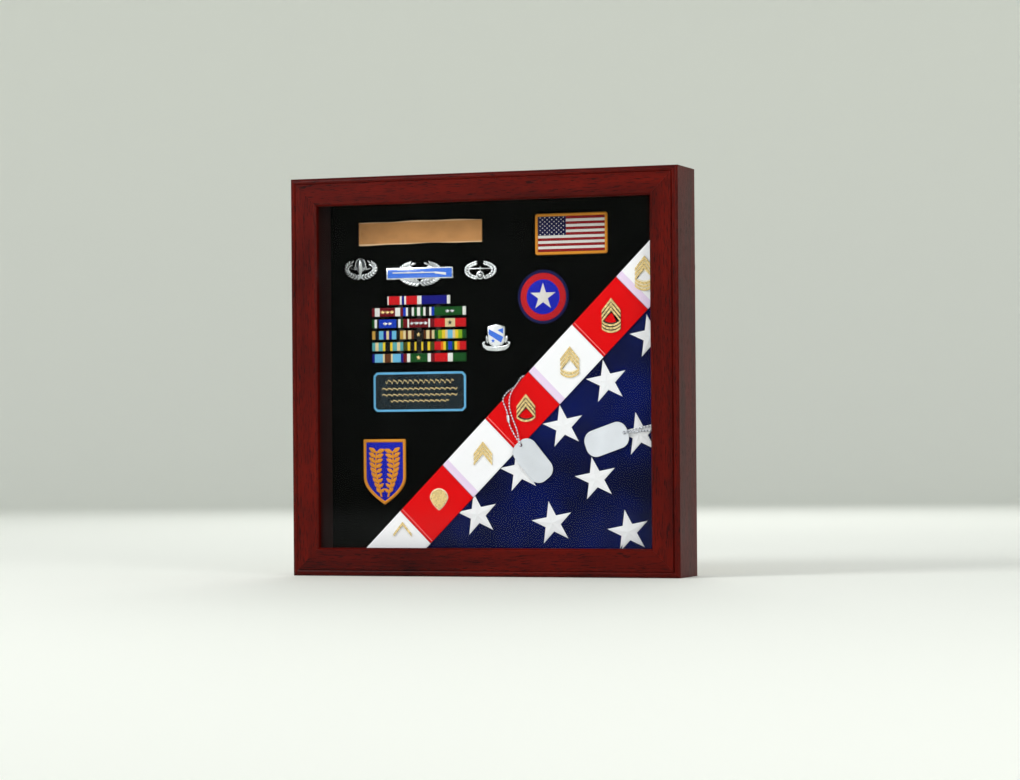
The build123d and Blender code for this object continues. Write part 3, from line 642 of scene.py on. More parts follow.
class FlagShape:
    """The folded pack: s runs up along the long fold and t from it towards the corner."""

    # Soft folds in the star field: a point on each, its way in degrees, width in mm and weight.
    soft_folds = (
        (0.155, 0.030, 128, 15, 0.9),
        (0.060, 0.030, 62, 18, 0.8),
        (0.189, 0.190, 205, 14, 0.8),
        (0.120, 0.120, 20, 12, 0.5),
    )

    def __init__(self, settings):
        low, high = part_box("flag_stripe_band")
        self.right = high[0]
        self.bottom = low[2]
        self.back = high[1]
        self.band_face = low[1]
        self.field_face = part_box("flag_star_field")[0][1]
        leg = high[2] - low[2]
        self.half = leg / sqrt(2)
        self.middle_x = self.right - leg / 2
        self.middle_z = self.bottom + leg / 2
        self.band = 50.2 * MM
        self.settings = settings

    def at(self, s, t, y):
        """The point of the pack at these places."""
        return Vector((self.middle_x + (s + t) / sqrt(2), y, self.middle_z + (s - t) / sqrt(2)))

    def reach(self, s):
        """Distance from the long fold to the pack's straight edges."""
        return max(self.half - abs(s), 2 * MM)

    def field(self, x, z):
        """The star field's rumpled surface along Y, rolled back at the straight edges."""
        spot = Vector((x, z, 0))
        soft = noise.noise(spot * 17) * 0.5 + noise.noise(spot * 41 + Vector((3, 1, 0))) * 0.2
        folds = 0.0
        for start_x, start_z, way, width, depth in self.soft_folds:
            turn = radians(way)
            off = (x - start_x) * sin(turn) - (z - start_z) * cos(turn)
            folds += depth * 2.718 ** (-((off / (width * MM)) ** 2))
        share = max(0.0, min(1.0, 0.55 - soft - folds * 0.45))
        edge = min(self.right - x, z - self.bottom)
        roll = 5 * MM
        rolled = 0.0
        if edge < roll:
            rolled = roll - sqrt(max(roll * roll - (roll - edge) ** 2, 0.0))
        return self.field_face + (share * self.settings.rumple + rolled)

    def field_mesh(self):
        """The star field's front, from under the band to the pack's straight edges."""
        start = self.band - 6 * MM
        widest = self.half - start - 1 * MM

        def lay(u, v):
            s = (u * 2 - 1) * widest
            t = start + v * (self.reach(s) - start)
            x, _, z = self.at(s, t, 0)
            y = self.field(x, z)
            if t < self.band + 1 * MM:
                y = max(y, self.field_face + 0.3 * MM)
            return Vector((x, y, z))

        bm = sheet_mesh(150, 90, lay)
        front_outwards(bm)
        return bm

    def section(self):
        """The band and the folded layers, seen along the long fold, as (t, y, is an inner end)."""
        face = self.band_face
        edge = 0.5 * MM
        fold = 3 * MM
        profile = [(self.band - back, face + 2 * edge) for back in (14 * MM, 4 * MM)]
        profile += arc((self.band - edge, face + edge), edge, pi / 2, -pi, 6)
        for share in (step / 12 for step in range(1, 12)):
            profile.append((self.band * (1 - share) + fold * share, face))
        profile += arc((fold, face + fold), fold, -pi / 2, -pi / 2, 8)
        section = [(t, y, False) for t, y in profile]
        first = face + fold + 0.6 * MM
        layers = self.settings.layers
        pitch = (self.back - 0.4 * MM - first) / layers
        turn = pitch / 2
        for layer in range(layers):
            y = first + pitch * (layer + 0.5)
            inward = layer % 2 == 0
            flat = (1.2, 5, 20) if inward else (20, 5)
            section += [(t * MM, y, False) for t in flat]
            end = (0, pi) if inward else (1.2 * MM, -pi)
            ends = arc((end[0], y + turn), turn, -pi / 2, end[1], 4)
            section += [(t, depth, inward) for t, depth in ends]
        return section

    def pack_mesh(self):
        """The stripe band, its long fold and the layers behind it, as one folded cloth."""
        section = self.section()
        last = len(section) - 1
        longest = self.half - 1 * MM
        fold_end = self.band_face + 3 * MM

        def fold(u, v):
            s = (u * 2 - 1) * longest
            t, y, inner = section[round(v * last)]
            reach = self.reach(s)
            ripple = noise.noise(Vector((s * 24, y * 210, 1.7)))
            if inner:
                t = reach + t - (2.2 + ripple) * MM
            elif y > fold_end + 0.1 * MM:
                t = t + (0.5 + 0.9 * ripple) * MM
                y = y + ripple * 0.25 * MM
            else:
                y = y + max(ripple, 0) * 0.35 * MM
            return self.at(s, max(min(t, reach), 0.0), y)

        bm = sheet_mesh(130, last, fold)
        bmesh.ops.recalc_face_normals(bm, faces=bm.faces)
        return bm

    def star_mesh(self):
        """Sewn stars on the star field's lattice, cut where the cloth folds away."""
        across = Vector((-49.0, -47.0)) * MM
        up = Vector((-36.0, 56.0)) * MM
        first = Vector((184.0, 254.0)) * MM
        star = self.settings.star
        bm = bmesh.new()
        for column in range(-1, 7):
            for row in range(-6, 3):
                spot = first + across * column + up * row
                depth = (spot[0] - self.middle_x - spot[1] + self.middle_z) / sqrt(2)
                beside = min(self.right - spot[0], spot[1] - self.bottom)
                if depth >= self.band - star * 0.6 and beside >= -star * 0.3:
                    self.star(bm, spot)
        for point, out in (
            (self.at(0, self.band + 0.3 * MM, 0), (-1, 0, 1)),
            ((self.right - 1.2 * MM, 0, 0), (1, 0, 0)),
            ((0, 0, self.bottom + 1.2 * MM), (0, 0, -1)),
        ):
            geom = bm.verts[:] + bm.edges[:] + bm.faces[:]
            bmesh.ops.bisect_plane(
                bm, geom=geom, plane_co=point, plane_no=out, clear_outer=True, dist=1e-6
            )
        bmesh.ops.recalc_face_normals(bm, faces=bm.faces)
        front_outwards(bm)
        return bm

    def star(self, bm, spot):
        """One star, ridged from its centre to its points, laid on the cloth."""
        outline = star_outline(self.settings.star, self.settings.star_turn)

        def lay(u, v, share, to_point):
            x, z = spot[0] + u, spot[1] + v
            ridge = self.settings.star_relief * (0.25 + 0.75 * to_point * (1 - share * 0.55))
            lift = 0.05 * MM if share == 1.0 else 0.35 * MM + ridge * (1 if share < 0.94 else 0.3)
            return bm.verts.new((x, self.field(x, z) - lift, z))

        rings = []
        for share in (1.0, 0.94, 0.62, 0.3):
            ring = []
            for step, (x, z) in enumerate(outline):
                after = outline[(step + 1) % len(outline)]
                for part in range(4):
                    u = (x + (after[0] - x) * part / 4) * share
                    v = (z + (after[1] - z) * part / 4) * share
                    ring.append(lay(u, v, share, part / 4 if step % 2 else 1 - part / 4))
            rings.append(ring)
        centre = lay(0, 0, 0, 1)
        for outer, inner in zip(rings, rings[1:]):
            for a, b, c, d in zip(outer, outer[1:] + outer[:1], inner[1:] + inner[:1], inner):
                bm.faces.new((a, b, c, d))
        for a, b in zip(rings[-1], rings[-1][1:] + rings[-1][:1]):
            bm.faces.new((a, b, centre))


def star_field_material(settings):
    """Navy nylon with a fine weave, and painted shade and highlight of soft folds from broad noise.
    """
    paint = Paint("navy_nylon", settings.navy, 0.7, specular_ior_level=0.05)
    broad = paint.noise(14, 3)
    threads = weave(paint)
    # Painted shade and highlight: broad noise takes the navy from 0.3 to 1.4 of itself, as the light
    # and shade of soft folds.
    shade = paint.smooth(broad * 0.85 + threads * 0.15, 0.3, 0.72)
    paint.set("Base Color", paint.blend(shade, times(settings.navy, 0.3), times(settings.navy, 1.4)))
    paint.set("Roughness", broad * 0.2 + 0.4)
    paint.bump(threads, 0.00009, 0.5)
    return paint.material


def stripe_material(shape, settings):
    """Red and white stripes across the long fold, seamed and stitched."""
    paint = Paint("striped_nylon", settings.white, 0.7, specular_ior_level=0.05)
    x, y, z = paint.axes()
    along = (x + z - (shape.middle_x + shape.middle_z)) / sqrt(2)
    band_depth, layer, layer_shift = 5 * MM, 3.2 * MM, 23 * MM
    depth = (y - (shape.band_face + band_depth)) / layer
    shift = (depth.math("MAXIMUM", 0.0) + 0.999).whole() * layer_shift
    turn = (along + shift + settings.stripe * 11.5) / settings.stripe
    stripe = turn.whole()
    within = (turn - stripe) * settings.stripe
    is_red = stripe.math("PINGPONG", 1.0)
    seam = (within < settings.seam_width) * (1 - is_red)
    threads = weave(paint)
    shade = paint.noise(22, 3) * 0.5 + threads * 0.2 + 0.4
    red = paint.shaded(shade, settings.red, 0.6)
    white = paint.shaded(shade, settings.white, 0.82)
    base = paint.blend(seam * 0.8, paint.blend(is_red, white, red), settings.seam)
    eased = 0.9 * MM
    edge = paint.smooth(within, 0.0, eased) * paint.smooth(settings.stripe - within, 0.0, eased)
    base = paint.blend((1 - edge) * 0.55, base, tint(70, 30, 40))
    stitch = (abs(within - 3 * MM) < 0.35 * MM) * (ribs(x - z, 2.4 * MM) > 0.35)
    paint.set("Base Color", paint.blend(stitch * 0.5, base, tint(250, 236, 236)))
    paint.bump(threads * 0.06 + edge * 0.8 + stitch * 0.25 + seam * 0.35, 0.0005, 0.8)
    return paint.material


class CASE_OT_flag(CasePiece, bpy.types.Operator):
    """Folds the flag into its triangle, with its star field, stripe band and sewn stars"""

    bl_idname = "case.flag"
    bl_label = "Folded flag"

    open_size = (0.914, 1.524)

    def execute(self, context):
        settings = self.settings.flag
        shape = FlagShape(settings)
        cloths = [star_field_material(settings), stripe_material(shape, settings)]
        bm = bmesh.new()
        for number, part in enumerate((shape.field_mesh(), shape.pack_mesh())):
            for face in part.faces:
                face.material_index = number
            mesh = bpy.data.meshes.new("flag_part")
            part.to_mesh(mesh)
            part.free()
            bm.from_mesh(mesh)
            bpy.data.meshes.remove(mesh)
        bmesh.ops.remove_doubles(bm, verts=bm.verts, dist=0.02 * MM)
        piece = place_piece("folded_flag", bm, cloths, slots["flag_stripe_band"], sharp=60)
        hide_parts("flag_star_field", "flag_stripe_band")
        satin = thread_material("white_satin", settings.white, True, 0.7 * MM, 0.00012, 0.92)
        slot = slots["flag_star_field"]
        stars = place_piece("sewn_stars", shape.star_mesh(), [satin], slot, sharp=25)
        return {"FINISHED"}


# ---- rank pins and tags
class CASE_OT_rank_pins(CasePiece, bpy.types.Operator):
    """Gilds the rank pins on the stripe band"""

    bl_idname = "case.rank_pins"
    bl_label = "Rank pins"

    def execute(self, context):
        trim = self.settings.trim
        for number in range(1, 8):
            node = f"rank_pin_{number}"
            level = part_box(node)[0][1] + 0.45 * MM
            sunk = trim.enamel if number in (4, 6) else trim.pale_enamel
            gilt = relief_material(f"gilt_{number}", trim.gold, sunk, level, 0.12 * MM)
            eased_copy(node, gilt, 0.18 * MM)
        return {"FINISHED"}


# Points in mm that each tag's chain passes near, from the tag and back to it.
# fmt: off
tag_chain_points = (
    (
        (39.3, -21.2, 140.3), (37.7, -21.1, 147.2), (35.4, -18.0, 155.0), (31.8, -17.3, 163.4),
        (28.2, -17.3, 172.2), (25.9, -17.4, 181.3), (26.0, -17.4, 190.4), (29.2, -17.8, 198.6),
        (35.2, -17.9, 206.0), (39.1, -15.0, 213.6), (40.4, -5.8, 214.6), (34.6, -1.2, 208.7),
        (28.3, -5.0, 202.5), (25.4, -12.0, 199.8), (21.2, -16.2, 195.4), (17.9, -17.5, 188.6),
        (21.4, -17.7, 181.8), (23.9, -18.0, 175.4), (25.7, -18.0, 162.6), (30.2, -17.7, 154.0),
        (34.5, -17.35, 146.6), (38.6, -17.25, 141.0),
    ),
    (
        (155.0, -20.2, 152.5), (161.4, -20.0, 154.6), (168.8, -17.0, 156.6),
        (177.2, -16.35, 158.4), (185.0, -16.4, 159.5), (191.6, -16.2, 160.6),
        (191.5, -6.6, 161.2), (191.4, -0.2, 156.6), (191.5, -1.4, 149.6), (191.4, -8.2, 147.6),
        (191.6, -16.2, 152.2), (184.6, -16.5, 154.4), (176.6, -16.35, 154.6),
        (168.4, -16.4, 153.4), (161.4, -16.35, 152.9), (155.6, -16.35, 152.2),
    ),
)
# fmt: on


def length_of(line):
    """The length of a line of points."""
    return sum((b - a).length for a, b in zip(line, line[1:]))


class CASE_OT_tags(CasePiece, bpy.types.Operator):
    """Makes the identity tags, their ball chains and the chain's clasp"""

    bl_idname = "case.tags"
    bl_label = "Tags and chains"

    ball = 1.15 * MM
    link = 0.26 * MM
    pitch = 3.4 * MM

    def execute(self, context):
        steel = self.settings.trim.steel
        dull = plain_material("stainless_tag", steel, 0.5, metallic=0.45)
        bright = plain_material("stainless_ball", steel, 0.25, metallic=0.8)
        tags = [eased_copy(f"dog_tag_{n}", dull, 0.16 * MM, segments=3) for n in (1, 2)]
        clasp = eased_copy("chain_clasp", bright, 0.2 * MM)
        for number, points in enumerate(tag_chain_points, 1):
            line = self.centreline(points)
            chain = place_piece(f"ball_chain_{number}", self.beads(line), [bright], "tag_steel")
            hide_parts(f"tag_chain_{number}")
            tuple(line[0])
            length_of(line)
            [tags[number - 1]] + ([clasp] if number == 1 else [])
        return {"FINISHED"}

    def centreline(self, points):
        """Points along a chain's smooth route."""
        curve = bpy.data.curves.new("route", "CURVE")
        curve.dimensions = "3D"
        spline = curve.splines.new("NURBS")
        spline.points.add(len(points) - 1)
        for control, point in zip(spline.points, points):
            control.co = (*[part * MM for part in point], 1)
        spline.order_u = 3
        spline.use_endpoint_u = True
        curve.resolution_u = 8
        holder = bpy.data.objects.new("route", curve)
        mesh = bpy.data.meshes.new_from_object(holder)
        line = [vert.co.copy() for vert in mesh.vertices]
        bpy.data.objects.remove(holder)
        bpy.data.curves.remove(curve)
        bpy.data.meshes.remove(mesh)
        return line

    def beads(self, line):
        """Hollow balls on a line with short links between them."""
        bm = bmesh.new()
        length = length_of(line)
        count = round(length / self.pitch)
        spots = [self.along(line, length * step / count) for step in range(count + 1)]
        for spot in spots:
            bmesh.ops.create_uvsphere(
                bm, u_segments=12, v_segments=8, radius=self.ball, matrix=Matrix.Translation(spot)
            )
        for start, end in zip(spots, spots[1:]):
            wire(bm, start, end, self.link, 6, False)
        bmesh.ops.recalc_face_normals(bm, faces=bm.faces)
        return bm

    def along(self, line, distance):
        """The point at a distance along a line."""
        for start, end in zip(line, line[1:]):
            run = (end - start).length
            if distance <= run:
                return start.lerp(end, distance / run)
            distance -= run
        return line[-1]


# ---- patches, tape and plaque
class CASE_OT_patches(CasePiece, bpy.types.Operator):
    """Embroiders the flag patch, round patch, shield patch and the blank name tape"""

    bl_idname = "case.patches"
    bl_label = "Patches and tape"

    def execute(self, context):
        trim = self.settings.trim
        threads = {
            "gold": (trim.patch_gold, True),
            "white": (tint(240, 236, 232), False),
            "red": (tint(150, 16, 26), False),
            "scarlet": (tint(206, 22, 34), True),
            "navy": (tint(16, 20, 74), False),
            "blue": (trim.patch_blue, False),
            "rim": (tint(12, 12, 86), True),
        }
        for name, (colour, diagonal) in threads.items():
            setattr(self, name, thread_material(f"{name}_thread", colour, diagonal))
        self.flag_patch()
        self.round_patch()
        self.shield_patch()
        self.tape(trim)
        return {"FINISHED"}

    def flag_patch(self):
        patch = NodeRelief("flag_patch")
        patch.plate(rounded_rectangle(patch.width - 1, patch.height - 1, 1.5), 0, 1.0)
        patch.paint(self.navy)
        border = 3.3
        inner_w, inner_h = patch.width - 2 * border, patch.height - 2 * border
        stripe = inner_h / 13
        canton_w, canton_h = inner_w * 0.42, stripe * 7
        left, top = -inner_w / 2, inner_h / 2

        def panel(start, end, low, high):
            return [(start, low), (end, low), (end, high), (start, high)]

        for number in range(13):
            middle = top - stripe * (number + 0.5)
            start = left + (canton_w if number < 7 else 0)
            outline = panel(start, inner_w / 2, middle - stripe / 2, middle + stripe / 2)
            patch.plate(outline, 0.9, 1.5, 0.25)
            patch.paint(self.white if number % 2 else self.red)
        patch.plate(panel(left, left + canton_w, top - canton_h, top), 0.9, 1.6, 0.2, self.navy)
        for row in range(9):
            for column in range(6 - row % 2):
                share = (column + 0.5 + 0.5 * (row % 2)) / 6
                spot = (left + canton_w * share, top - canton_h * (row + 0.5) / 9)
                patch.dome(*spot, 1.55, 0.75, 0.4, 6)
        patch.paint(self.white)
        rim = rounded_rectangle(patch.width - border, patch.height - border, 1.6)
        patch.border(rim, border, 1.9, self.gold)
        patch.finish("flag_patch_embroidery")

    def round_patch(self):
        patch = NodeRelief("round_patch")
        radius = patch.width / 2
        for inset, bottom, top, material in (
            (1.2, 0.0, 1.1, self.rim),
            (3.2, 1.0, 1.6, self.scarlet),
            (10.2, 1.5, 2.0, self.blue),
        ):
            across = (radius - inset) * 2
            patch.plate(ellipse(across, across, 64), bottom, top, 0.3, material)
        patch.plate(star_outline(radius * 0.52), 1.9, 2.5, 0.3, self.white)
        patch.border(ellipse(radius * 2 - 3, radius * 2 - 3, 64), 3.0, 2.0, self.rim)
        patch.finish("round_patch_embroidery")

    def shield_patch(self):
        """A shield with a sprig of leaves up each side."""
        patch = NodeRelief("shield_patch")
        patch.plate(self.shield(patch.width - 2, patch.height - 2), 0, 1.2)
        patch.paint(self.blue)
        patch.border(self.shield(patch.width - 3.6, patch.height - 3.6), 3.6, 1.9, self.gold)
        for side in (-1, 1):
            for share in (step / 8 for step in range(9)):
                stem_x = side * (9.5 - 4.0 * share * share + 2.0 * sin(share * pi))
                size = 10.4 - 3.0 * share
                for way in (-1, 1):
                    turn = -pi / 2 + way * radians(64 - 20 * share) + side * 0.1
                    patch.leaf(stem_x, 21 - 44 * share, size, size * 0.52, turn + pi, 1.1, 1.5)
            patch.rod([(side * 9.5, 22, 1.6), (side * 11, 2, 1.6), (side * 4.0, -27, 1.6)], 1.1)
        patch.paint(self.gold)
        patch.finish("shield_patch_embroidery")

    def shield(self, width, height):
        """A flat-topped shield that comes to a point."""
        half, tall = width / 2, height / 2
        curve = []
        for share in (step / 8 for step in range(1, 9)):
            curve.append((half * (1 - share**1.9), -tall * (0.18 + 0.82 * share)))
        points = [(-half, tall), (-half, -tall * 0.18)] + [(-x, y) for x, y in curve]
        return points + curve[-2::-1] + [(half, -tall * 0.18), (half, tall)]

    def tape(self, trim):
        """A blank webbing tape that lies in soft waves, its ends folded under."""
        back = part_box("name_tape")[1][1]
        middle, half_x, half_z = extent("name_tape")
        cloth = self.webbing(trim.tape, middle[2], half_z)

        def lay(u, v):
            x = (u * 2 - 1) * half_x
            z = (v * 2 - 1) * half_z
            wave = (sin(x * 78 + 0.6) + 0.5 * sin(x * 171)) * 0.45 * MM
            sway = (sin(x * 44 + 1.0) * 0.5 + sin(x * 120 + v * 2.4) * 0.3) * MM
            hem = 0.25 * MM if abs(v - 0.5) > 0.46 or abs(u - 0.5) > 0.485 else 0.0
            y = back - 0.9 * MM + wave - hem
            return Vector((middle[0] + x, min(y, back - 0.1 * MM), middle[2] + z * 0.96 + sway))

        bm = sheet_mesh(120, 24, lay)
        front_outwards(bm)
        piece = place_piece("name_tape_cloth", bm, [cloth], slots["name_tape"], sharp=80)
        piece.modifiers.new("Webbing", "SOLIDIFY").thickness = 0.5 * MM
        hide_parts("name_tape")

    def webbing(self, colour, middle, half):
        """Ribbed webbing, with a painted highlight along its top and bottom hems."""
        paint = Paint("tape_webbing", colour, 0.8, sheen_weight=0.05, specular_ior_level=0.2)
        x, _, z = paint.axes()
        threads = ribs(x, 0.9 * MM)
        shade = paint.smooth(paint.noise(40, 4, 0.65) * 0.8 + threads * 0.2, 0.25, 0.6)
        base = paint.shaded(shade, colour, 0.62)
        # Painted highlight: a pale band along the top and bottom hems, where light catches them.
        hem_highlight = abs(z - middle) > half - 1.6 * MM
        paint.set("Base Color", paint.blend(hem_highlight * 0.6, base, tint(244, 214, 176)))
        paint.bump(threads, 0.00015, 0.6)
        return paint.material


class CASE_OT_plaque(CasePiece, bpy.types.Operator):
    """Engraves the plate with plain ornament"""

    bl_idname = "case.plaque"
    bl_label = "Plaque"

    # Wavy lines in mm: height above the plate's middle, half length and swing.
    lines = ((11.5, 40, 1.5), (3.4, 44, 0.8), (-3.2, 44, 0.8), (-9.8, 34, 0.8))

    def execute(self, context):
        trim = self.settings.trim
        middle, half_x, half_z = extent("plaque")
        paint = Paint("engraved_plate", trim.plaque, 0.3, 0.1, specular_ior_level=0.3)
        x, _, z = paint.axes()
        across, up = x - middle[0], z - middle[2]
        side = half_x - abs(across)
        end = half_z - abs(up)
        corner = (side + end - 4.2 * MM) / sqrt(2)
        inset = side.math("MINIMUM", end).math("MINIMUM", corner)
        line = paint.smooth(inset, 0.3 * MM, 0.6 * MM) * paint.smooth(inset, 3.0 * MM, 2.6 * MM)
        ornament = None
        for height, reach, swing in self.lines:
            wave = (across * (2 * pi / (6.2 * MM))).sine() * (swing * MM)
            second = (across * (2 * pi / (3.1 * MM)) + 0.7).sine() * (swing * 0.5 * MM)
            stroke = paint.smooth(abs(up - height * MM - wave - second), 0.62 * MM, 0.34 * MM)
            inside = stroke * (abs(across) < reach * MM)
            ornament = ornament.math("MAXIMUM", inside) if ornament else inside
        wear = paint.noise(60, 3)
        base = paint.blend(line, paint.shaded(wear, trim.plaque, 0.6), trim.plaque_edge)
        paint.set("Base Color", paint.blend(ornament * 0.85, base, trim.gold))
        paint.set("Roughness", wear * 0.15 + 0.2 + ornament * 0.15)
        paint.bump(1 - ornament, 0.0002, 0.7)
        eased_copy("plaque", paint.material, 0.25 * MM)
        return {"FINISHED"}


# ---- badges
class CASE_OT_badges(CasePiece, bpy.types.Operator):
    """Makes the wreath badge, bar badge, winged badge and crest"""

    bl_idname = "case.badges"
    bl_label = "Badges"

    def execute(self, context):
        trim = self.settings.trim
        self.silver = metal_material("badge_silver", trim.silver, 0.26)
        self.dark = metal_material("badge_oxide", tint(84, 88, 92), 0.45)
        enamel = {"coat_weight": 0.6, "depth": 0.00002}
        self.blue = plain_material("badge_blue", trim.badge_blue, 0.18, **enamel)
        self.white = plain_material("badge_white", tint(232, 236, 240), 0.2, **enamel)
        self.wreath()
        self.bar()
        self.wings()
        self.crest()
        return {"FINISHED"}

    def sprays(self, badge, width, height, gap, count, size):
        """Two sprays of paired leaves that rise from an oval's foot to a gap at its top."""
        low = 0.5
        for way in (1, -1):
            stem = ellipse(width, height, count, -pi / 2, way * (pi - gap / 2))
            badge.rod([(x, y, low + 0.4) for x, y in stem], 0.45, 6)
            for here, after in zip(stem, stem[1:]):
                heading = atan2(after[1] - here[1], after[0] - here[0])
                for side in (-1, 1):
                    badge.leaf(*here, size, size * 0.42, heading + side * 0.62, low, 1.1)
            badge.leaf(*stem[-1], size, size * 0.42, heading, low, 1.1)

    def wreath(self):
        """Leaf sprays round a dark oval with a lozenge and two bolts."""
        badge = NodeRelief("badge_wreath")
        self.sprays(badge, 33, 18, radians(96), 10, 5.6)
        for side in (-1, 1):
            bolt = ((3, 0.5), (7, 2.2), (6.4, -0.6), (11.5, 0.8))
            badge.rod([(side * x, y, 1.4) for x, y in bolt], 0.75, 6)
        badge.paint(self.silver)
        badge.plate(moved(ellipse(12.5, 15), 0, 4.4), 0.3, 1.3, 0.3, self.dark)
        rim = [(x, y + 4.4, 1.5) for x, y in ellipse(11.8, 14.2, 24)]
        badge.rod(rim + rim[:1], 0.7, 6)
        lozenge = [(0, -10.6), (2.9, -1), (2.2, 7), (0, 10.2), (-2.2, 7), (-2.9, -1)]
        badge.plate(lozenge, 1.2, 2.5, 0.4, self.silver)
        badge.finish("wreath_badge")

    def bar(self):
        """A long enamelled bar with a plain staff, over leaf sprays."""
        badge = NodeRelief("badge_bar")
        self.sprays(badge, 44, 21, radians(60), 15, 7.0)
        badge.plate(rounded_rectangle(78, 12.5, 0.8), 0.6, 2.0, 0.35, self.silver)
        badge.plate(rounded_rectangle(75.2, 9.8, 0.4), 1.9, 2.15, 0.1, self.blue)
        badge.rod([(-31, 0.9, 2.2), (20, 0.5, 2.2)], 0.7)
        badge.plate([(18, 1.4), (18, -0.8), (31, -2.6), (31, 0.2)], 1.9, 2.8, 0.25)
        for x in (-14, 2):
            badge.rod([(x, 0.8, 2.3), (x + 2.4, 0.8, 2.3)], 1.0)
        badge.paint(self.white)
        badge.finish("bar_badge")

    def wings(self):
        """Wings that curl up and in at their tips, with a thin bar over a round boss."""
        badge = NodeRelief("badge_wings")
        for side in (-1, 1):
            for row, (wide, tall, count, size) in enumerate(((32, 17, 12, 5.6), (26, 13, 9, 5.0))):
                curve = ellipse(wide, tall, count, -pi * 0.44, pi * 0.84)
                for (x, y), (after_x, after_y) in zip(curve, curve[1:]):
                    turn = atan2(after_y - y, after_x - x) - 0.3
                    turn = turn if side > 0 else pi - turn
                    badge.leaf(side * x, y + 0.8, size, 2.6, turn, 0.4 + 0.5 * row, 1.3)
        badge.plate([(-12.5, 2.0), (12.5, 2.0), (12.5, 3.2), (-12.5, 3.2)], 1.0, 2.0, 0.3)
        badge.rod([(0, -3, 1.4), (0, 4.2, 1.4)], 0.8)
        badge.plate(moved(ellipse(9, 9, 32), 0, -4.6), 0.4, 2.1, 0.4, self.silver)
        badge.plate(moved(ellipse(6.2, 6.2, 28), 0, -4.6), 2.0, 2.25, 0.1, self.dark)
        badge.dome(0, -4.6, 2.2, 2.0, 0.8)
        badge.paint(self.silver)
        badge.finish("winged_badge")

    def crest(self):
        """A shield with a slanting bar, above a blank scroll."""
        badge = NodeRelief("crest_pin")
        badge.plate(self.crest_shield(20, 25), 0, 1.6, 0.4, self.silver)
        badge.plate(self.crest_shield(17.6, 22), 1.5, 2.0, 0.15, self.white)
        badge.plate([(-8.6, 9.8), (-8.6, 3.8), (5.6, -5.2), (8.2, 1.0)], 1.9, 2.25, 0.12)
        badge.plate([(8.0, 10.8), (1.6, 8.4), (8.0, 4.4)], 1.9, 2.25, 0.12)
        badge.plate(moved(star_outline(2.6), -3.6, -3.0), 1.9, 2.4, 0.12, self.blue)
        upper = [(-16.4, -4.8), (-10.5, -8.4), (0, -9.6), (10.5, -8.4), (16.4, -4.8)]
        lower = [(15.0, -9.8), (10.0, -13.4), (0, -14.4), (-10.0, -13.4), (-15.0, -9.8)]
        badge.plate(upper + lower, 1.0, 2.6, 0.35)
        for side in (-1, 1):
            fold = ((16.4, -4.8), (15, -9.8), (12.4, -3.6))
            badge.plate([(side * x, y) for x, y in fold], 0.5, 1.6, 0.2)
            badge.leaf(side * 10.2, -6.0, 9.0, 3.2, pi / 2 - side * 0.18, 0.3, 1.2)
        badge.paint(self.silver)
        badge.finish("crest_badge")

    def crest_shield(self, width, height):
        """A shield with three points along its top."""
        half, top = width / 2, 2.4 + height / 2
        point = 2.4 - height / 2
        points = [(-half, top - 2.6), (-half, point + height * 0.36)]
        for share in (0.25, 0.5, 0.75):
            points.append((-half * sqrt(1 - share**1.8), point + height * 0.36 * (1 - share)))
        points += [(0, point)] + [(-x, y) for x, y in reversed(points)]
        return points + [(half * 0.5, top - 1.2), (0, top), (-half * 0.5, top - 1.2)]


# ---- ribbons
cloth = {
    "red": tint(210, 8, 24),
    "maroon": tint(116, 6, 26),
    "white": tint(244, 244, 240),
    "cream": tint(232, 212, 160),
    "navy": tint(6, 4, 130),
    "blue": tint(16, 60, 190),
    "sky": tint(110, 190, 230),
    "teal": tint(90, 170, 176),
    "green": tint(6, 80, 26),
    "lime": tint(140, 180, 30),
    "yellow": tint(240, 206, 50),
    "gold": tint(206, 160, 70),
    "orange": tint(236, 110, 20),
    "brown": tint(96, 52, 22),
    "olive": tint(70, 72, 14),
    "black": tint(10, 10, 10),
}

# Each row's ribbons, as widths and cloths from the left edge. A mirrored ribbon is given up
# to its middle.
ribbon_rows = (
    ("4 white 36 red 6 white 8 navy mirrored", "9 white 82 navy mirrored"),
    (
        "9 maroon 16 white 50 maroon mirrored",
        "9 blue 7 white 12 black 7 white 10 green 10 white mirrored",
        "90 green 10 white",
    ),
    (
        "8 green 8 white 6 black 56 blue mirrored",
        "14 maroon 5 white 62 maroon mirrored",
        "34 red 32 cream mirrored",
    ),
    (
        "10 gold 12 black 14 sky 10 navy 8 cream mirrored",
        "8 cream 8 brown 10 cream 8 brown 32 black mirrored",
        "12 green 12 lime 10 yellow 8 cream 16 sky mirrored",
    ),
    (
        "10 teal 10 cream 14 teal 8 yellow 16 black mirrored",
        "14 olive 8 yellow 14 black 6 yellow 16 black mirrored",
        "20 red 8 orange 8 yellow 8 green 12 blue mirrored",
    ),
    (
        "8 navy 26 sky 6 cream 20 brown mirrored",
        "12 maroon 10 white 56 green mirrored",
        "42 red 16 white 42 green",
    ),
)
# Ribbons that carry a device: row, place in the row, metal, and how many side by side.
ribbon_devices = (
    (1, 0, "gold", 3),
    (1, 2, "silver", 2),
    (2, 0, "silver", 2),
    (2, 1, "silver", 4),
    (2, 2, "dark", 1),
    (3, 1, "gold", 1),
    (5, 1, "gold", 1),
)


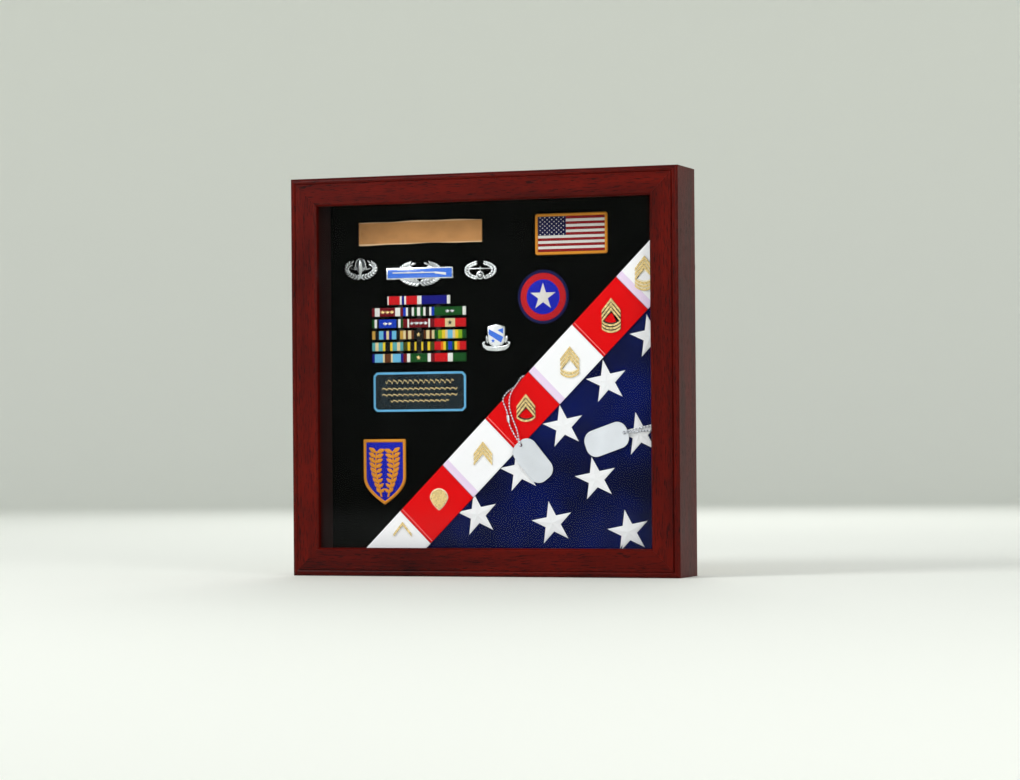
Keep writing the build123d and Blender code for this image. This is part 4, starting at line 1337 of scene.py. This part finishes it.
class CASE_OT_ribbons(CasePiece, bpy.types.Operator):
    """Weaves the ribbons over their bars, with their small devices"""

    bl_idname = "case.ribbons"
    bl_label = "Ribbon bars"

    width = 36.5 * MM

    def execute(self, context):
        trim = self.settings.trim
        bronzed = plain_material("bronzed_rack", tint(26, 22, 20), 0.6, metallic=0.3)
        eased_copy("ribbon_rack", bronzed, 0.1 * MM)
        metals = {
            "gold": metal_material("device_gold", trim.gold, 0.25),
            "silver": metal_material("device_silver", trim.silver, 0.25),
            "dark": plain_material("device_dark", tint(20, 16, 14), 0.4, metallic=0.3),
        }
        for row, ribbons in enumerate(ribbon_rows):
            node = f"ribbon_row_{row + 1}"
            low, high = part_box(node)
            pitch = (high[0] - low[0] - self.width) / (len(ribbons) - 1)
            bm = bmesh.new()
            materials = []
            for place, stripes in enumerate(ribbons):
                left = low[0] + place * pitch
                self.ribbon(bm, left, low, high)
                materials.append(self.grosgrain(f"grosgrain_{row + 1}_{place + 1}", left, stripes))
            for face in bm.faces:
                face.material_index = int((face.calc_center_median()[0] - low[0]) / pitch)
            piece = place_piece(f"ribbons_{row + 1}", bm, materials, slots[node], sharp=50)
            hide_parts(node)
            for device_row, place, metal, count in ribbon_devices:
                if device_row == row:
                    middle = low[0] + place * pitch + self.width / 2
                    name = f"device_{row + 1}_{place + 1}"
                    self.devices(name, middle, low, high, metals[metal], count)
        return {"FINISHED"}

    def ribbon(self, bm, left, low, high):
        """One ribbon, wrapped round its bar with softly rounded folds."""
        gap = 0.12 * MM
        size = (self.width - 2 * gap, high[1] - low[1] - 0.1 * MM, high[2] - low[2] - 0.1 * MM)
        depth, height = (low[1] + high[1]) / 2 + 0.05 * MM, (low[2] + high[2]) / 2
        spot = Matrix.Translation((left + self.width / 2, depth, height))
        matrix = spot @ Matrix.Diagonal((*size, 1))
        made = bmesh.ops.create_cube(bm, size=1, matrix=matrix)["verts"]
        folds = [
            edge
            for edge in {edge for vert in made for edge in vert.link_edges}
            if abs(edge.verts[0].co.x - edge.verts[1].co.x) > self.width / 2
        ]
        eased_edges(bm, folds, 0.7 * MM, 4)

    def grosgrain(self, name, left, text):
        """Ribbed ribbon cloth with its stripes."""
        words = text.split()
        stripes = [(int(width), cloth[colour]) for width, colour in zip(words[::2], words[1::2])]
        if words[-1] == "mirrored":
            stripes += stripes[-2::-1]
        paint = Paint(name, stripes[0][1], 0.65, sheen_weight=0.05, specular_ior_level=0.15)
        x, _, z = paint.axes()
        whole = sum(width for width, _ in stripes)
        at = 0.0
        stops = []
        for width, colour in stripes:
            stops.append((at / whole, colour))
            at += width
        stripe = paint.ramp((x - left) / self.width, stops, "CONSTANT")
        rib = ribs(z, 0.55 * MM)
        dark = paint.blend(0.45, stripe, (0, 0, 0))
        shade = rib * 0.5 + paint.noise(90, 2) * 0.35 + 0.25
        paint.set("Base Color", paint.blend(shade, dark, stripe))
        paint.bump(rib, 0.00015, 0.8)
        return paint.material

    def devices(self, name, middle, low, high, material, count):
        """Small leaf clusters or a star pinned to a ribbon."""
        face = (velvet_face() - low[1]) / MM
        relief = Relief(seat_at(middle, (low[2] + high[2]) / 2))
        if count == 1:
            relief.plate(star_outline(2.9), face - 0.1, face + 0.5, 0.12)
        else:
            for step in range(count):
                x = (step - (count - 1) / 2) * 5.4
                for turn in (50, 90, 130):
                    relief.leaf(x, -1.8, 3.8, 1.7, radians(turn), face - 0.1, 0.8)
        relief.paint(material)
        relief.finish(name, "rack_metal")


# ---- the back
class CASE_OT_back(CasePiece, bpy.types.Operator):
    """Finishes the plywood back, turn buttons, hangers, screws and bumpers"""

    bl_idname = "case.back"
    bl_label = "Back and fittings"

    def execute(self, context):
        settings = self.settings
        colours = (settings.case.plywood, tint(158, 118, 76), tint(110, 78, 48))
        eased_copy("back_panel", wood_material("plywood_back", "z", *colours, 9.0), 0.4 * MM)
        zinc = metal_material("zinc_plate", settings.trim.zinc, 0.34)
        brushed = metal_material("zinc_brushed", settings.trim.zinc, 0.38, True)
        for number in range(1, 7):
            node = f"turn_button_{number}"
            eased_copy(node, brushed, 0.12 * MM, node)
        eased_copy("turn_button_screws", zinc, 0.1 * MM)
        eased_copy("hanger_screws", zinc, 0.1 * MM)
        eased_copy("corner_v_nails", brushed, 0.08 * MM)
        for side in ("left", "right"):
            eased_copy(f"hanger_plate_{side}", brushed, 0.15 * MM)
            ring = f"hanger_ring_{side}"
            eased_copy(ring, zinc, 0.05 * MM, ring, limit=60)
        rubber = plain_material("bumper_rubber", tint(70, 66, 60), 0.7, depth=0.0001)
        eased_copy("wall_bumpers", rubber, 0.5 * MM, segments=3)
        return {"FINISHED"}


# ---- stage
class CASE_OT_stage(CasePiece, bpy.types.Operator):
    """Sets up the pale floor, soft studio light and the camera"""

    bl_idname = "case.stage"
    bl_label = "Stage"

    def execute(self, context):
        stage = self.settings.stage
        self.floor(stage)
        self.light("Key", (-2.0, -2.3, 1.9), 1.5, stage.key)
        self.light("Fill", (2.5, -1.9, 1.2), 1.4, stage.fill)
        self.light("Back", (-0.6, 2.8, 1.9), 1.6, stage.fill)
        world = bpy.data.worlds.new("Studio")
        world.use_nodes = True
        background = world.node_tree.nodes["Background"]
        background.inputs["Color"].default_value = (0.93, 0.96, 1.0, 1.0)
        background.inputs["Strength"].default_value = stage.sky
        scene = bpy.context.scene
        scene.world = world
        scene.view_settings.view_transform = "Standard"
        self.camera()
        return {"FINISHED"}

    def floor(self, stage):
        """A round floor that turns up into a backdrop all round."""
        paint = Paint("pale_floor", stage.floor, 0.8)
        paint.bump(paint.noise(30, 3), 0.0003, 0.3)
        flat, curve, top = 4.2, 1.2, 4.0
        profile = [(0.0, 0.0), (flat, 0.0)]
        for turn in (pi / 24 * step for step in range(1, 13)):
            profile.append((flat + curve * sin(turn), curve - curve * cos(turn)))
        profile.append((flat + curve, top))
        bm = bmesh.new()
        rim = [bm.verts.new((x, 0, z)) for x, z in profile]
        geom = rim + [bm.edges.new(pair) for pair in zip(rim, rim[1:])]
        around = {"cent": (0, 0, 0), "axis": (0, 0, 1), "angle": 2 * pi}
        bmesh.ops.spin(bm, geom=geom, steps=96, use_merge=True, **around)
        bmesh.ops.remove_doubles(bm, verts=bm.verts, dist=0.1 * MM)
        bmesh.ops.recalc_face_normals(bm, faces=bm.faces)
        linked_object("floor", bm, [paint.material], 60)

    def light(self, name, spot, size, power):
        """A square soft box that faces the case."""
        data = bpy.data.lights.new(name, "AREA")
        data.shape = "SQUARE"
        data.size = size
        data.energy = power
        lamp = bpy.data.objects.new(name, data)
        lamp.location = spot
        aim = Vector((0, 0, 0.2)) - Vector(spot)
        lamp.rotation_euler = aim.to_track_quat("-Z", "Y").to_euler()
        bpy.context.scene.collection.objects.link(lamp)

    def camera(self):
        """The camera stands to the right of the case, level, a little below its middle."""
        azimuth, roll = radians(19.87), radians(-0.44)
        data = bpy.data.cameras.new("Camera")
        data.lens = 111.07
        data.sensor_width = 36
        data.shift_y = 0.0549
        camera = bpy.data.objects.new("Camera", data)
        camera.location = (1.1699, -3.1814, 0.1395)
        turned = Matrix.Rotation(azimuth, 4, "Z") @ Matrix.Rotation(pi / 2, 4, "X")
        camera.rotation_euler = (turned @ Matrix.Rotation(roll, 4, "Z")).to_euler()
        bpy.context.scene.collection.objects.link(camera)
        bpy.context.scene.camera = camera


# ---- panel and registration
pieces = (
    CASE_OT_stage,
    CASE_OT_tags,
    CASE_OT_frame,
    CASE_OT_velvet,
    CASE_OT_flag,
    CASE_OT_rank_pins,
    CASE_OT_patches,
    CASE_OT_plaque,
    CASE_OT_badges,
    CASE_OT_ribbons,
    CASE_OT_back,
)


class CASE_PT_panel(bpy.types.Panel):
    """Lists the case's pieces and their settings"""

    bl_label = "Display case"
    bl_idname = "CASE_PT_panel"
    bl_space_type = "VIEW_3D"
    bl_region_type = "UI"
    bl_category = "Display case"

    def draw(self, context):
        settings = context.scene.display_case
        for group in (settings.case, settings.flag, settings.trim, settings.stage):
            box = self.layout.box()
            for name in group.bl_rna.properties.keys():
                if name not in ("rna_type", "name"):
                    box.prop(group, name)
        for piece in pieces:
            self.layout.operator(piece.bl_idname)


groups = (CaseSettings, FlagSettings, TrimSettings, StageSettings, DisplayCaseSettings)
classes = (*groups, *pieces, CASE_PT_panel)


def register():
    for added in classes:
        bpy.utils.register_class(added)
    bpy.types.Scene.display_case = PointerProperty(type=DisplayCaseSettings)


def unregister():
    del bpy.types.Scene.display_case
    for added in reversed(classes):
        bpy.utils.unregister_class(added)


def main():
    register()
    for piece in pieces:
        group, name = piece.bl_idname.split(".")
        getattr(getattr(bpy.ops, group), name)()


if __name__ == "__main__":
    main()
